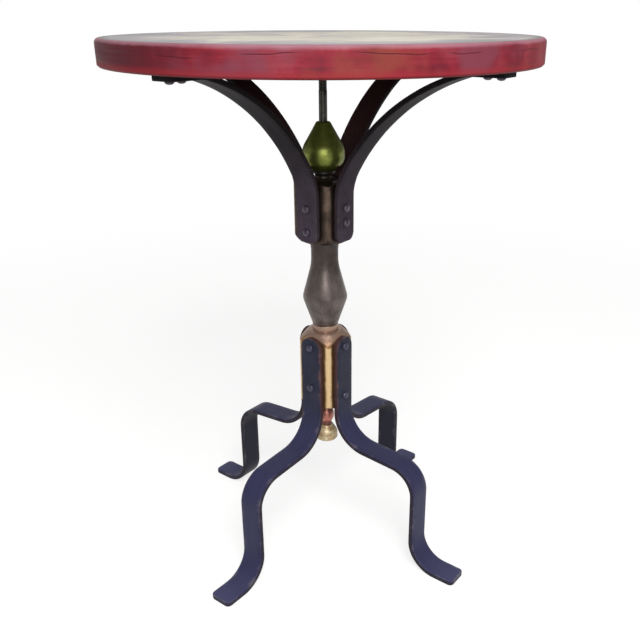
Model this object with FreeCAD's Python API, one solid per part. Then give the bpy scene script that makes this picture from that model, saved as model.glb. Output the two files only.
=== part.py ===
"""Round lamp table: a board top on bent strap-iron arms, turned pieces on a tie rod and four bent legs.

Millimetres, +Z up. The origin is on the floor under the centre of the top, and the front is towards -Y.
"""

import FreeCAD
import Part
import math
import os

V = FreeCAD.Vector
ORIGIN = V(0, 0, 0)
UP = V(0, 0, 1)

# Wooden top, edge-glued from boards that run left to right
TOP_DIAMETER = 500.0
TOP_THICKNESS = 28.6
TOP_UPPER_ROUNDING = 5.0
TOP_LOWER_CHAMFER = 2.0
TOP_BOARD_COUNT = 7

# Strap iron that the legs and arms are bent from
STRAP_WIDTH = 32.0
STRAP_THICKNESS = 6.0

# Leg, from its crown on the hub block down and out to the toe, lengths between the bends
LEG_STRAIGHT_LENGTH = 107.0
LEG_SHOULDER_BEND = 46.0
LEG_RUN_LENGTH = 48.7
LEG_RUN_SLOPE_DEG = 4.0
LEG_KNEE_BEND = 35.0
LEG_SHIN_LENGTH = 67.7
LEG_ANKLE_BEND = 37.0
LEG_FOOT_LENGTH = 28.0
LEG_CROWN_FLAT = 1.0
LEG_TOE_ROUNDING = 6.0

# Arm, from its lower end on the arm block up and out to the tip under the top
ARM_STRAIGHT_LENGTH = 51.0
ARM_LOWER_BEND = 72.0
ARM_LOWER_TURN_DEG = 30.0
ARM_UPPER_BEND = 50.0
ARM_UPPER_TURN_DEG = 16.0
ARM_PAD_LENGTH = 34.0
ARM_TIP_INSET = 12.0
ARM_LOWER_END_ROUNDING = 9.0
ARM_TIP_ROUNDING = 5.0

# Square block that the legs are bolted to
HUB_SIDE = 52.0
HUB_HEIGHT = 106.7
HUB_ABOVE_BEND = 5.8
HUB_CORNER_ROUNDING = 6.0
HUB_DOME_DROP = 14.0
HUB_DOME_RADIUS = 22.0
HUB_DOME_ROUNDING = 20.0
HUB_BOTTOM_ROUNDING = 9.0
HUB_NECK_RADIUS = 16.8
HUB_NECK_HEIGHT = 7.5
HUB_NECK_ROUNDING = 1.0

# Turned baluster between the two blocks
BALUSTER_LENGTH = 112.7
BALUSTER_FOOT_RADIUS = 16.5
BALUSTER_BELLY_RADIUS = 29.3
BALUSTER_BELLY_SHARE = 0.33
BALUSTER_BELLY_ROUNDING = 16.0
BALUSTER_WAIST_RADIUS = 17.3
BALUSTER_WAIST_SHARES = (0.73, 0.89)
BALUSTER_WAIST_ROUNDING = 120.0
BALUSTER_FLARE_ROUNDING = 20.0
BALUSTER_HEAD_RADIUS = 18.6

# Square block that the arms are bolted to
ARM_BLOCK_SIDE = 56.0
ARM_BLOCK_BELOW_ARM = 4.0
ARM_BLOCK_ABOVE_BEND = 21.5
ARM_BLOCK_CORNER_ROUNDING = 6.0
ARM_BLOCK_TOP_ROUNDING = 5.0
ARM_BLOCK_BOTTOM_ROUNDING = 15.0

# Turned collar between the arm block and the finial
COLLAR_HEIGHT = 12.0
COLLAR_FOOT_RADIUS = 15.0
COLLAR_NECK_RADIUS = 10.5
COLLAR_NECK_SHARES = (0.28, 0.62)
COLLAR_NECK_ROUNDING = 3.5
COLLAR_RING_RADIUS = 14.6
COLLAR_RING_SHARE = 0.72
COLLAR_RING_ROUNDING = 1.2

# Acorn finial, tapped to clamp the stack of turned pieces on the rod
ACORN_HEIGHT = 57.5
ACORN_FOOT_RADIUS = 13.5
ACORN_BELLY_RADIUS = 25.8
ACORN_BELLY_SHARES = (0.16, 0.46)
ACORN_LOWER_ROUNDING = 14.0
ACORN_UPPER_ROUNDING = 24.0
ACORN_TIP_RADIUS = 8.2
ACORN_TIP_ROUNDING = 3.0

# Turned bead under the hub block
BEAD_HEIGHT = 37.7
BEAD_RADIUS = 10.2
BEAD_BELLY_SHARES = (0.28, 0.52)
BEAD_BELLY_ROUNDING = 10.0
BEAD_NECK_RADIUS = 7.0
BEAD_NECK_SHARES = (0.12, 0.68)
BEAD_NECK_ROUNDING = 1.5

# Bun knob at the bottom of the stack
BUN_HEIGHT = 21.6
BUN_RADIUS = 15.3
BUN_BELLY_SHARE = 0.50
BUN_UPPER_ROUNDING = 14.0
BUN_LOWER_ROUNDING = 4.0
BUN_TOP_RADIUS = 8.5

# Tie rod through the turned pieces, with its nut, washer and the insert in the top
ROD_DIAMETER = 10.0
ROD_BORE_CLEARANCE = 0.3
ROD_END_RECESS = 1.0
ROD_NUT_ACROSS_FLATS = 14.0
ROD_NUT_HEIGHT = 5.0
ROD_WASHER_DIAMETER = 16.6
ROD_WASHER_THICKNESS = 1.2
NUT_POCKET_CLEARANCE = 0.4
NUT_POCKET_SPARE = 1.8
INSERT_DIAMETER = 15.0
INSERT_LENGTH = 15.0
INSERT_FLANGE_DIAMETER = 20.0
INSERT_FLANGE_THICKNESS = 2.0

# Round-head lag bolts that hold the legs and arms to the blocks
LAG_DIAMETER = 6.0
LAG_HEAD_DIAMETER = 10.5
LAG_HEAD_HEIGHT = 4.2
LAG_HEAD_RIM = 1.2
LAG_TIP_LENGTH = 4.0
LAG_ROD_WALL = 4.0
LEG_UPPER_BOLT_DROP = 13.0
LEG_LOWER_BOLT_RISE = 36.0
LEG_LOWER_BOLT_STAGGER = 14.0
ARM_LOWER_BOLT_RISE = 13.0
ARM_LOWER_BOLT_STAGGER = 11.0
ARM_UPPER_BOLT_DROP = 9.0

# Round-head wood screws that hold the arms to the top
SCREW_DIAMETER = 4.5
SCREW_HEAD_DIAMETER = 9.5
SCREW_HEAD_HEIGHT = 3.6
SCREW_HEAD_RIM = 1.0
SCREW_TIP_LENGTH = 4.0
SCREW_TOP_WALL = 11.0
SCREW_FROM_TIP = 10.0
SCREW_FROM_BEND = 9.0

# Fits and cuts
STRAP_HOLE_CLEARANCE = 0.4
THREAD_CLEARANCE = 0.05
DRILL_POINT_ROOM = 0.5
BLANK_ALLOWANCE = 1.0
CUT_OVERRUN = 5.0
ROUNDING_RUN_SHARE = 0.48
MATCH_TOLERANCE = 0.01

# Corners where the legs and arms stand, anticlockwise from above, and those with staggered bolts
CORNERS = ("front_left", "front_right", "back_right", "back_left")
STAGGERED_CORNERS = ("front_right", "back_left")
FIRST_CORNER_DEG = -135.0
BLOCK_TURN_DEG = 45.0

# Heights and distances that follow from the sizes above
corner_step_deg = 360 / len(CORNERS)
corner_azimuths_deg = {
    corner: FIRST_CORNER_DEG + corner_step_deg * step for step, corner in enumerate(CORNERS)
}
half_strap = STRAP_THICKNESS / 2
rod_radius = ROD_DIAMETER / 2
rod_bore_radius = rod_radius + ROD_BORE_CLEARANCE
thread_bore_radius = rod_radius + THREAD_CLEARANCE
run_slope = math.radians(LEG_RUN_SLOPE_DEG)
leg_start_radius = HUB_SIDE / 2 + half_strap
leg_knee_height = half_strap + LEG_ANKLE_BEND + LEG_SHIN_LENGTH
leg_bends_rise = (LEG_KNEE_BEND + LEG_SHOULDER_BEND) * math.cos(run_slope)
leg_bend_height = leg_knee_height + leg_bends_rise + LEG_RUN_LENGTH * math.sin(run_slope)
leg_top_height = leg_bend_height + LEG_STRAIGHT_LENGTH

hub_bottom = leg_bend_height + HUB_ABOVE_BEND
hub_shoulder = hub_bottom + HUB_HEIGHT
hub_top = hub_shoulder + HUB_NECK_HEIGHT
bead_bottom = hub_bottom - BEAD_HEIGHT
bun_bottom = bead_bottom - BUN_HEIGHT
arm_block_bottom = hub_top + BALUSTER_LENGTH
arm_bottom = arm_block_bottom + ARM_BLOCK_BELOW_ARM
arm_bend_height = arm_bottom + ARM_STRAIGHT_LENGTH
arm_block_top = arm_bend_height + ARM_BLOCK_ABOVE_BEND
collar_top = arm_block_top + COLLAR_HEIGHT
acorn_top = collar_top + ACORN_HEIGHT

lower_turn = math.radians(ARM_LOWER_TURN_DEG)
upper_turn = math.radians(ARM_UPPER_TURN_DEG)
top_radius = TOP_DIAMETER / 2
arm_start_radius = ARM_BLOCK_SIDE / 2 + half_strap
arm_tip_radius = top_radius - ARM_TIP_INSET
arm_pad_radius = arm_tip_radius - ARM_PAD_LENGTH
arm_lower_spread = ARM_LOWER_BEND * (1 - math.cos(lower_turn))
arm_upper_spread = ARM_UPPER_BEND * math.sin(upper_turn)
arm_middle_spread = arm_pad_radius - arm_start_radius - arm_lower_spread - arm_upper_spread
arm_middle_bend = arm_middle_spread / (math.cos(lower_turn) - math.sin(upper_turn))
arm_lower_rise = ARM_LOWER_BEND * math.sin(lower_turn)
arm_middle_rise = arm_middle_bend * (math.cos(upper_turn) - math.sin(lower_turn))
arm_upper_rise = ARM_UPPER_BEND * (1 - math.cos(upper_turn))
arm_pad_height = arm_bend_height + arm_lower_rise + arm_middle_rise + arm_upper_rise
top_underside = arm_pad_height + half_strap
table_height = top_underside + TOP_THICKNESS

nut_pocket_depth = ROD_WASHER_THICKNESS + ROD_NUT_HEIGHT + NUT_POCKET_SPARE
nut_pocket_top = bun_bottom + nut_pocket_depth
rod_bottom = bun_bottom + ROD_END_RECESS
rod_top = top_underside + INSERT_LENGTH
leg_bolt_length = leg_start_radius + half_strap - rod_bore_radius - LAG_ROD_WALL
arm_bolt_length = arm_start_radius + half_strap - rod_bore_radius - LAG_ROD_WALL
screw_length = STRAP_THICKNESS + TOP_THICKNESS - SCREW_TOP_WALL
screw_radii = (arm_pad_radius + SCREW_FROM_BEND, arm_tip_radius - SCREW_FROM_TIP)


def rounded_wire(corners):
    """Closed wire in the XZ plane through (x, z, rounding) corners, rounded as far as their runs allow."""
    count = len(corners)
    points = [V(x, 0, z) for x, z, rounding in corners]
    stations = []
    for index, (x, z, rounding) in enumerate(corners):
        point = points[index]
        back = points[index - 1] - point
        ahead = points[(index + 1) % count] - point
        if rounding == 0:
            stations.append((point, None, point))
            continue
        half_angle = back.getAngle(ahead) / 2
        reach = min(rounding / math.tan(half_angle), ROUNDING_RUN_SHARE * min(back.Length, ahead.Length))
        radius = reach * math.tan(half_angle)
        back.normalize()
        ahead.normalize()
        inward = (back + ahead).normalize()
        crest = point + inward * (radius / math.sin(half_angle) - radius)
        stations.append((point + back * reach, crest, point + ahead * reach))
    edges = []
    for index, (entry, crest, leave) in enumerate(stations):
        if crest is not None:
            edges.append(Part.Arc(entry, crest, leave).toShape())
        edges.append(Part.LineSegment(leave, stations[(index + 1) % count][0]).toShape())
    return Part.Wire(edges)


def turned(corners):
    """Solid turned about the table's axis from a closed outline of (radius, height, rounding) corners."""
    return Part.Face(rounded_wire(corners)).revolve(ORIGIN, UP, 360)


def cylinder(radius, start, end):
    """Round bar from one point to another."""
    axis = end - start
    return Part.makeCylinder(radius, axis.Length, start, axis)


def outward(azimuth_deg):
    """Unit vector that points away from the table's axis at an azimuth."""
    angle = math.radians(azimuth_deg)
    return V(math.cos(angle), math.sin(angle), 0)


def at_azimuth(shape, azimuth_deg):
    """Copy of a shape that was made along +X, swung round the table's axis."""
    swung = shape.copy()
    swung.rotate(ORIGIN, UP, azimuth_deg)
    return swung


def blank_radius(side, corner_rounding):
    """Radius of the round blank that holds a square block with rounded corners."""
    corner_reach = side / 2 * math.sqrt(2) - corner_rounding * (math.sqrt(2) - 1)
    return corner_reach + BLANK_ALLOWANCE


def squared_block(side, corner_rounding, low, low_rounding, shoulder):
    """Square block with rounded corners, its ends turned on the lathe up to a shoulder, with the rod's bore."""
    half = side / 2
    high = shoulder[-1][1]
    blank = turned([
        (rod_bore_radius, low, 0),
        (blank_radius(side, corner_rounding), low, low_rounding),
        *shoulder,
        (rod_bore_radius, high, 0),
    ])
    square = Part.Face(rounded_wire([
        (-half, -half, corner_rounding),
        (half, -half, corner_rounding),
        (half, half, corner_rounding),
        (-half, half, corner_rounding),
    ]))
    square.rotate(ORIGIN, V(1, 0, 0), -90)
    square.translate(V(0, 0, low - CUT_OVERRUN))
    prism = square.extrude(V(0, 0, high - low + CUT_OVERRUN * 2))
    return blank.common(at_azimuth(prism, BLOCK_TURN_DEG))


def along(heading):
    """Unit vector in the XZ plane at a heading, in radians up from +X."""
    return V(math.cos(heading), 0, math.sin(heading))


def across(heading):
    """Unit vector in the XZ plane to the left of a heading."""
    return V(-math.sin(heading), 0, math.cos(heading))


def strap_edge(point, heading):
    """Line through the strap's thickness, square to its heading."""
    offset = across(heading) * half_strap
    return Part.LineSegment(point - offset, point + offset).toShape()


def bent_strip(start, heading_deg, moves):
    """Strap of the named width and thickness that follows straight runs and bends in the XZ plane.

    A move is (length, 0) for a straight run or (bend radius, turn in degrees), and left turns are positive.
    """
    point = start
    heading = math.radians(heading_deg)
    sides = {half_strap: [], -half_strap: []}
    ends = [strap_edge(point, heading)]
    for size, turn_deg in moves:
        turn = math.radians(turn_deg)
        if turn_deg == 0:
            stops = [(point, heading), (point + along(heading) * size, heading)]
        else:
            bend_centre = point + across(heading) * math.copysign(size, turn)
            stops = [(bend_centre - across(heading + swing) * math.copysign(size, turn), heading + swing)
                     for swing in (0, turn / 2, turn)]
        for offset, edges in sides.items():
            places = [middle + across(angle) * offset for middle, angle in stops]
            curve = Part.Arc(*places) if turn_deg else Part.LineSegment(*places)
            edges.append(curve.toShape())
        point, heading = stops[-1]
    ends.append(strap_edge(point, heading))
    outline = Part.Wire(Part.sortEdges(sides[half_strap] + sides[-half_strap] + ends)[0])
    face = Part.Face(outline)
    face.translate(V(0, -STRAP_WIDTH / 2, 0))
    return face.extrude(V(0, STRAP_WIDTH, 0)), point


def round_end_corners(strip, end, rounding):
    """Strap with the two corners of one end rounded, no further than half its width."""
    limit = (STRAP_WIDTH - LEG_CROWN_FLAT) / 2
    corners = [end + V(0, STRAP_WIDTH / 2 * side, 0) for side in (-1, 1)]
    edges = [edge for edge in strip.Edges
             if any((edge.CenterOfMass - corner).Length < MATCH_TOLERANCE for corner in corners)]
    return strip.makeFillet(min(rounding, limit), edges)


def bolt_holes(heights, face_radius):
    """Drills along +X that clear the lag bolts where they pass a strap."""
    radius = LAG_DIAMETER / 2 + STRAP_HOLE_CLEARANCE
    near = face_radius - CUT_OVERRUN
    far = face_radius + STRAP_THICKNESS + CUT_OVERRUN
    return [cylinder(radius, V(near, 0, height), V(far, 0, height)) for height in heights]


def leg_bolt_heights(corner):
    """Heights of a leg's two lag bolts."""
    stagger = LEG_LOWER_BOLT_STAGGER if corner in STAGGERED_CORNERS else 0
    return (leg_top_height - LEG_UPPER_BOLT_DROP, leg_bend_height + LEG_LOWER_BOLT_RISE - stagger)


def arm_bolt_heights(corner):
    """Heights of an arm's two lag bolts, the upper one kept below the bend."""
    stagger = ARM_LOWER_BOLT_STAGGER if corner in STAGGERED_CORNERS else 0
    return (arm_bend_height - ARM_UPPER_BOLT_DROP, arm_bottom + ARM_LOWER_BOLT_RISE + stagger)


def leg(corner):
    """One bent leg with its rounded crown, its toe and its bolt holes."""
    bend_deg = 90 - LEG_RUN_SLOPE_DEG
    crown = V(leg_start_radius, 0, leg_top_height)
    strip, toe = bent_strip(crown, -90, [
        (LEG_STRAIGHT_LENGTH, 0),
        (LEG_SHOULDER_BEND, bend_deg),
        (LEG_RUN_LENGTH, 0),
        (LEG_KNEE_BEND, -bend_deg),
        (LEG_SHIN_LENGTH, 0),
        (LEG_ANKLE_BEND, 90),
        (LEG_FOOT_LENGTH, 0),
    ])
    strip = round_end_corners(strip, crown, STRAP_WIDTH)
    strip = round_end_corners(strip, toe, LEG_TOE_ROUNDING)
    strip = strip.cut(bolt_holes(leg_bolt_heights(corner), HUB_SIDE / 2))
    return at_azimuth(strip, corner_azimuths_deg[corner])


def arm(corner):
    """One bent arm with its rounded lower end, its pad under the top and its holes."""
    middle_turn_deg = 90 - ARM_LOWER_TURN_DEG - ARM_UPPER_TURN_DEG
    lower_end = V(arm_start_radius, 0, arm_bottom)
    strip, tip = bent_strip(lower_end, 90, [
        (ARM_STRAIGHT_LENGTH, 0),
        (ARM_LOWER_BEND, -ARM_LOWER_TURN_DEG),
        (arm_middle_bend, -middle_turn_deg),
        (ARM_UPPER_BEND, -ARM_UPPER_TURN_DEG),
        (ARM_PAD_LENGTH, 0),
    ])
    strip = round_end_corners(strip, lower_end, ARM_LOWER_END_ROUNDING)
    strip = round_end_corners(strip, tip, ARM_TIP_ROUNDING)
    drills = bolt_holes(arm_bolt_heights(corner), ARM_BLOCK_SIDE / 2)
    screw_hole_radius = SCREW_DIAMETER / 2 + STRAP_HOLE_CLEARANCE
    low = top_underside - STRAP_THICKNESS - CUT_OVERRUN
    high = top_underside + CUT_OVERRUN
    drills += [cylinder(screw_hole_radius, V(radius, 0, low), V(radius, 0, high)) for radius in screw_radii]
    return at_azimuth(strip.cut(drills), corner_azimuths_deg[corner])


def pilot_holes(bolt_heights, side, bolt_length):
    """Blind drills into a block for the lag bolts of all four corners."""
    radius = LAG_DIAMETER / 2 + THREAD_CLEARANCE
    bottom_radius = side / 2 + STRAP_THICKNESS - bolt_length - DRILL_POINT_ROOM
    mouth_radius = side / 2 + CUT_OVERRUN
    drills = []
    for corner, azimuth_deg in corner_azimuths_deg.items():
        away = outward(azimuth_deg)
        for height in bolt_heights(corner):
            level = V(0, 0, height)
            drills.append(cylinder(radius, away * bottom_radius + level, away * mouth_radius + level))
    return drills


def hub_block():
    """Square lower block with domed shoulders and a round neck, drilled for the legs' bolts."""
    shoulder = [
        (blank_radius(HUB_SIDE, HUB_CORNER_ROUNDING), hub_shoulder - HUB_DOME_DROP, HUB_DOME_ROUNDING),
        (HUB_DOME_RADIUS, hub_shoulder, HUB_DOME_ROUNDING),
    ]
    block = squared_block(HUB_SIDE, HUB_CORNER_ROUNDING, hub_bottom, HUB_BOTTOM_ROUNDING, shoulder)
    neck = turned([
        (rod_bore_radius, hub_shoulder, 0),
        (HUB_NECK_RADIUS, hub_shoulder, 0),
        (HUB_NECK_RADIUS, hub_top, HUB_NECK_ROUNDING),
        (rod_bore_radius, hub_top, 0),
    ])
    return block.fuse(neck).removeSplitter().cut(pilot_holes(leg_bolt_heights, HUB_SIDE, leg_bolt_length))


def arm_block():
    """Square upper block, drilled for the arms' bolts."""
    shoulder = [
        (blank_radius(ARM_BLOCK_SIDE, ARM_BLOCK_CORNER_ROUNDING), arm_block_top, ARM_BLOCK_TOP_ROUNDING),
    ]
    block = squared_block(ARM_BLOCK_SIDE, ARM_BLOCK_CORNER_ROUNDING, arm_block_bottom,
                          ARM_BLOCK_BOTTOM_ROUNDING, shoulder)
    return block.cut(pilot_holes(arm_bolt_heights, ARM_BLOCK_SIDE, arm_bolt_length))


def baluster():
    """Vase-shaped turning between the two blocks."""
    belly = hub_top + BALUSTER_LENGTH * BALUSTER_BELLY_SHARE
    waist_low, waist_high = (hub_top + BALUSTER_LENGTH * share for share in BALUSTER_WAIST_SHARES)
    return turned([
        (rod_bore_radius, hub_top, 0),
        (BALUSTER_FOOT_RADIUS, hub_top, 0),
        (BALUSTER_BELLY_RADIUS, belly, BALUSTER_BELLY_ROUNDING),
        (BALUSTER_WAIST_RADIUS, waist_low, BALUSTER_WAIST_ROUNDING),
        (BALUSTER_WAIST_RADIUS, waist_high, BALUSTER_FLARE_ROUNDING),
        (BALUSTER_HEAD_RADIUS, arm_block_bottom, 0),
        (rod_bore_radius, arm_block_bottom, 0),
    ])


def neck_collar():
    """Waisted collar with a ring at its top."""
    neck_low, neck_high = (arm_block_top + COLLAR_HEIGHT * share for share in COLLAR_NECK_SHARES)
    ring = arm_block_top + COLLAR_HEIGHT * COLLAR_RING_SHARE
    return turned([
        (rod_bore_radius, arm_block_top, 0),
        (COLLAR_FOOT_RADIUS, arm_block_top, 0),
        (COLLAR_NECK_RADIUS, neck_low, COLLAR_NECK_ROUNDING),
        (COLLAR_NECK_RADIUS, neck_high, COLLAR_NECK_ROUNDING),
        (COLLAR_RING_RADIUS, ring, COLLAR_RING_ROUNDING),
        (COLLAR_RING_RADIUS, collar_top, COLLAR_RING_ROUNDING),
        (rod_bore_radius, collar_top, 0),
    ])


def acorn_finial():
    """Acorn that screws down the rod onto the collar."""
    belly_low, belly_high = (collar_top + ACORN_HEIGHT * share for share in ACORN_BELLY_SHARES)
    return turned([
        (thread_bore_radius, collar_top, 0),
        (ACORN_FOOT_RADIUS, collar_top, 0),
        (ACORN_BELLY_RADIUS, belly_low, ACORN_LOWER_ROUNDING),
        (ACORN_BELLY_RADIUS, belly_high, ACORN_UPPER_ROUNDING),
        (ACORN_TIP_RADIUS, acorn_top, ACORN_TIP_ROUNDING),
        (thread_bore_radius, acorn_top, 0),
    ])


def bottom_bead():
    """Round bead with a short neck above and below it."""
    neck_low, neck_high = (bead_bottom + BEAD_HEIGHT * share for share in BEAD_NECK_SHARES)
    belly_low, belly_high = (bead_bottom + BEAD_HEIGHT * share for share in BEAD_BELLY_SHARES)
    return turned([
        (rod_bore_radius, bead_bottom, 0),
        (BEAD_NECK_RADIUS, bead_bottom, 0),
        (BEAD_NECK_RADIUS, neck_low, BEAD_NECK_ROUNDING),
        (BEAD_RADIUS, belly_low, BEAD_BELLY_ROUNDING),
        (BEAD_RADIUS, belly_high, BEAD_BELLY_ROUNDING),
        (BEAD_NECK_RADIUS, neck_high, BEAD_NECK_ROUNDING),
        (BEAD_NECK_RADIUS, hub_bottom, 0),
        (rod_bore_radius, hub_bottom, 0),
    ])


def bun_knob():
    """Bun under the bead, with a pocket for the rod's nut in its flat bottom."""
    belly = bun_bottom + BUN_HEIGHT * BUN_BELLY_SHARE
    pocket_radius = ROD_WASHER_DIAMETER / 2 + NUT_POCKET_CLEARANCE
    return turned([
        (pocket_radius, bun_bottom, 0),
        (BUN_RADIUS, bun_bottom, BUN_LOWER_ROUNDING),
        (BUN_RADIUS, belly, BUN_UPPER_ROUNDING),
        (BUN_TOP_RADIUS, bead_bottom, 0),
        (rod_bore_radius, bead_bottom, 0),
        (rod_bore_radius, nut_pocket_top, 0),
        (pocket_radius, nut_pocket_top, 0),
    ])


def tie_rod():
    """Plain bar for the threaded rod, from the bun's pocket up into the top."""
    return cylinder(rod_radius, V(0, 0, rod_bottom), V(0, 0, rod_top))


def rod_washer():
    """Flat washer against the roof of the bun's pocket."""
    low = nut_pocket_top - ROD_WASHER_THICKNESS
    washer_radius = ROD_WASHER_DIAMETER / 2
    return turned([
        (rod_bore_radius, low, 0),
        (washer_radius, low, 0),
        (washer_radius, nut_pocket_top, 0),
        (rod_bore_radius, nut_pocket_top, 0),
    ])


def rod_nut():
    """Hexagon nut under the washer."""
    high = nut_pocket_top - ROD_WASHER_THICKNESS
    low = high - ROD_NUT_HEIGHT
    corner_radius = ROD_NUT_ACROSS_FLATS / 2 / math.cos(math.radians(30))
    points = [outward(60 * step) * corner_radius + V(0, 0, low) for step in range(7)]
    hexagon = Part.Face(Part.makePolygon(points)).extrude(V(0, 0, ROD_NUT_HEIGHT))
    overrun = V(0, 0, CUT_OVERRUN)
    return hexagon.cut(cylinder(thread_bore_radius, V(0, 0, low) - overrun, V(0, 0, high) + overrun))


def insert_outline(clearance, bore_radius, inner_end):
    """Corners of the flanged insert, or of its seat in the top when a clearance is added."""
    flange_radius = INSERT_FLANGE_DIAMETER / 2 + clearance
    body_radius = INSERT_DIAMETER / 2 + clearance
    flange_top = top_underside + INSERT_FLANGE_THICKNESS
    return [
        (bore_radius, top_underside, 0),
        (flange_radius, top_underside, 0),
        (flange_radius, flange_top, 0),
        (body_radius, flange_top, 0),
        (body_radius, inner_end, 0),
        (bore_radius, inner_end, 0),
    ]


def rod_insert():
    """Flanged threaded insert in the underside of the top, which takes the end of the rod."""
    return turned(insert_outline(0, thread_bore_radius, rod_top))


def top_boards():
    """The round top's boards, drilled from below for the arms' screws and the rod's insert."""
    disc = turned([
        (0, top_underside, 0),
        (top_radius - TOP_LOWER_CHAMFER, top_underside, 0),
        (top_radius, top_underside + TOP_LOWER_CHAMFER, 0),
        (top_radius, table_height, TOP_UPPER_ROUNDING),
        (0, table_height, 0),
    ])
    pilot_radius = SCREW_DIAMETER / 2 + THREAD_CLEARANCE
    pilot_top = table_height - SCREW_TOP_WALL + DRILL_POINT_ROOM
    drills = [turned(insert_outline(THREAD_CLEARANCE, 0, rod_top + DRILL_POINT_ROOM))]
    for azimuth_deg in corner_azimuths_deg.values():
        for radius in screw_radii:
            place = outward(azimuth_deg) * radius
            below = V(0, 0, top_underside - CUT_OVERRUN)
            drills.append(cylinder(pilot_radius, place + below, place + V(0, 0, pilot_top)))
    drilled = disc.cut(drills)
    board_width = TOP_DIAMETER / TOP_BOARD_COUNT
    slab_length = TOP_DIAMETER + CUT_OVERRUN * 2
    slab_height = TOP_THICKNESS + CUT_OVERRUN * 2
    boards = {}
    for index in range(TOP_BOARD_COUNT):
        near_spare = CUT_OVERRUN if index == 0 else 0
        far_spare = CUT_OVERRUN if index == TOP_BOARD_COUNT - 1 else 0
        near = board_width * index - top_radius - near_spare
        corner = V(-slab_length / 2, near, top_underside - CUT_OVERRUN)
        slab = Part.makeBox(slab_length, board_width + near_spare + far_spare, slab_height, corner)
        boards[f"top_board_{index + 1}"] = drilled.common(slab)
    return boards


def round_head(shank_diameter, shank_length, tip_length, head_diameter, head_height, head_rim):
    """Domed fastener on the axis, its head above the origin and its pointed shank below."""
    shank_radius = shank_diameter / 2
    head_radius = head_diameter / 2
    dome_height = head_height - head_rim
    dome_radius = (head_radius ** 2 + dome_height ** 2) / (2 * dome_height)
    half_way = math.asin(head_radius / dome_radius) / 2
    dome_centre = head_height - dome_radius
    crest = V(dome_radius * math.sin(half_way), 0, dome_centre + dome_radius * math.cos(half_way))
    rim_edge = V(head_radius, 0, head_rim)
    tip = V(0, 0, -shank_length)
    places = [
        V(0, 0, head_height),
        tip,
        V(shank_radius, 0, tip_length - shank_length),
        V(shank_radius, 0, 0),
        V(head_radius, 0, 0),
        rim_edge,
    ]
    edges = [Part.LineSegment(start, end).toShape() for start, end in zip(places, places[1:])]
    edges.append(Part.Arc(rim_edge, crest, places[0]).toShape())
    return Part.Face(Part.Wire(edges)).revolve(ORIGIN, UP, 360)


def placed(shape, point, direction):
    """Copy of a fastener with its head's underside at a point and its head facing a direction."""
    copy = shape.copy()
    copy.Placement = FreeCAD.Placement(point, FreeCAD.Rotation(UP, direction))
    return copy


def lag_bolts(bolt_heights, side, bolt_length):
    """Group of lag bolts, two at each corner, heads on the straps' outer faces."""
    bolt = round_head(LAG_DIAMETER, bolt_length, LAG_TIP_LENGTH,
                      LAG_HEAD_DIAMETER, LAG_HEAD_HEIGHT, LAG_HEAD_RIM)
    seat_radius = side / 2 + STRAP_THICKNESS
    bolts = []
    for corner, azimuth_deg in corner_azimuths_deg.items():
        away = outward(azimuth_deg)
        for height in bolt_heights(corner):
            bolts.append(placed(bolt, away * seat_radius + V(0, 0, height), away))
    return Part.makeCompound(bolts)


def arm_screws():
    """Group of wood screws, two at each arm's tip, heads under the strap."""
    screw = round_head(SCREW_DIAMETER, screw_length, SCREW_TIP_LENGTH,
                       SCREW_HEAD_DIAMETER, SCREW_HEAD_HEIGHT, SCREW_HEAD_RIM)
    seat = V(0, 0, top_underside - STRAP_THICKNESS)
    screws = []
    for azimuth_deg in corner_azimuths_deg.values():
        for radius in screw_radii:
            screws.append(placed(screw, outward(azimuth_deg) * radius + seat, -UP))
    return Part.makeCompound(screws)


def all_pieces():
    """Every piece of the table by its node name."""
    pieces = top_boards()
    for corner in corner_azimuths_deg:
        pieces[f"leg_{corner}"] = leg(corner)
        pieces[f"arm_{corner}"] = arm(corner)
    pieces["hub_block"] = hub_block()
    pieces["baluster"] = baluster()
    pieces["arm_block"] = arm_block()
    pieces["neck_collar"] = neck_collar()
    pieces["acorn_finial"] = acorn_finial()
    pieces["bottom_bead"] = bottom_bead()
    pieces["bun_knob"] = bun_knob()
    pieces["tie_rod"] = tie_rod()
    pieces["rod_washer"] = rod_washer()
    pieces["rod_nut"] = rod_nut()
    pieces["rod_insert"] = rod_insert()
    pieces["leg_bolts"] = lag_bolts(leg_bolt_heights, HUB_SIDE, leg_bolt_length)
    pieces["arm_bolts"] = lag_bolts(arm_bolt_heights, ARM_BLOCK_SIDE, arm_bolt_length)
    pieces["arm_screws"] = arm_screws()
    return pieces


os.makedirs("parts", exist_ok=True)
for name, shape in all_pieces().items():
    shape.exportStep(f"parts/{name}.step")
    print(f"{name}: {len(shape.Solids)} solid(s), {shape.Volume / 1000:.1f} cm3, valid {shape.isValid()}")
print(f"table height {table_height:.1f} mm, arm middle bend radius {arm_middle_bend:.1f} mm")
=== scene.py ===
"""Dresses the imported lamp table: painted board top, bent strap-iron legs and arms, post of turned pieces.

Metres, +Z up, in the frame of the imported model: the floor is z = 0 and the front is towards -Y.
Sizes in the dataclasses are in millimetres and are turned to metres where meshes are made.
"""

import logging
import math
from dataclasses import dataclass
from enum import Enum
from functools import partial
from typing import Callable, Sequence

import bmesh
import bpy
import numpy as np
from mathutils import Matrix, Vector, noise


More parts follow.
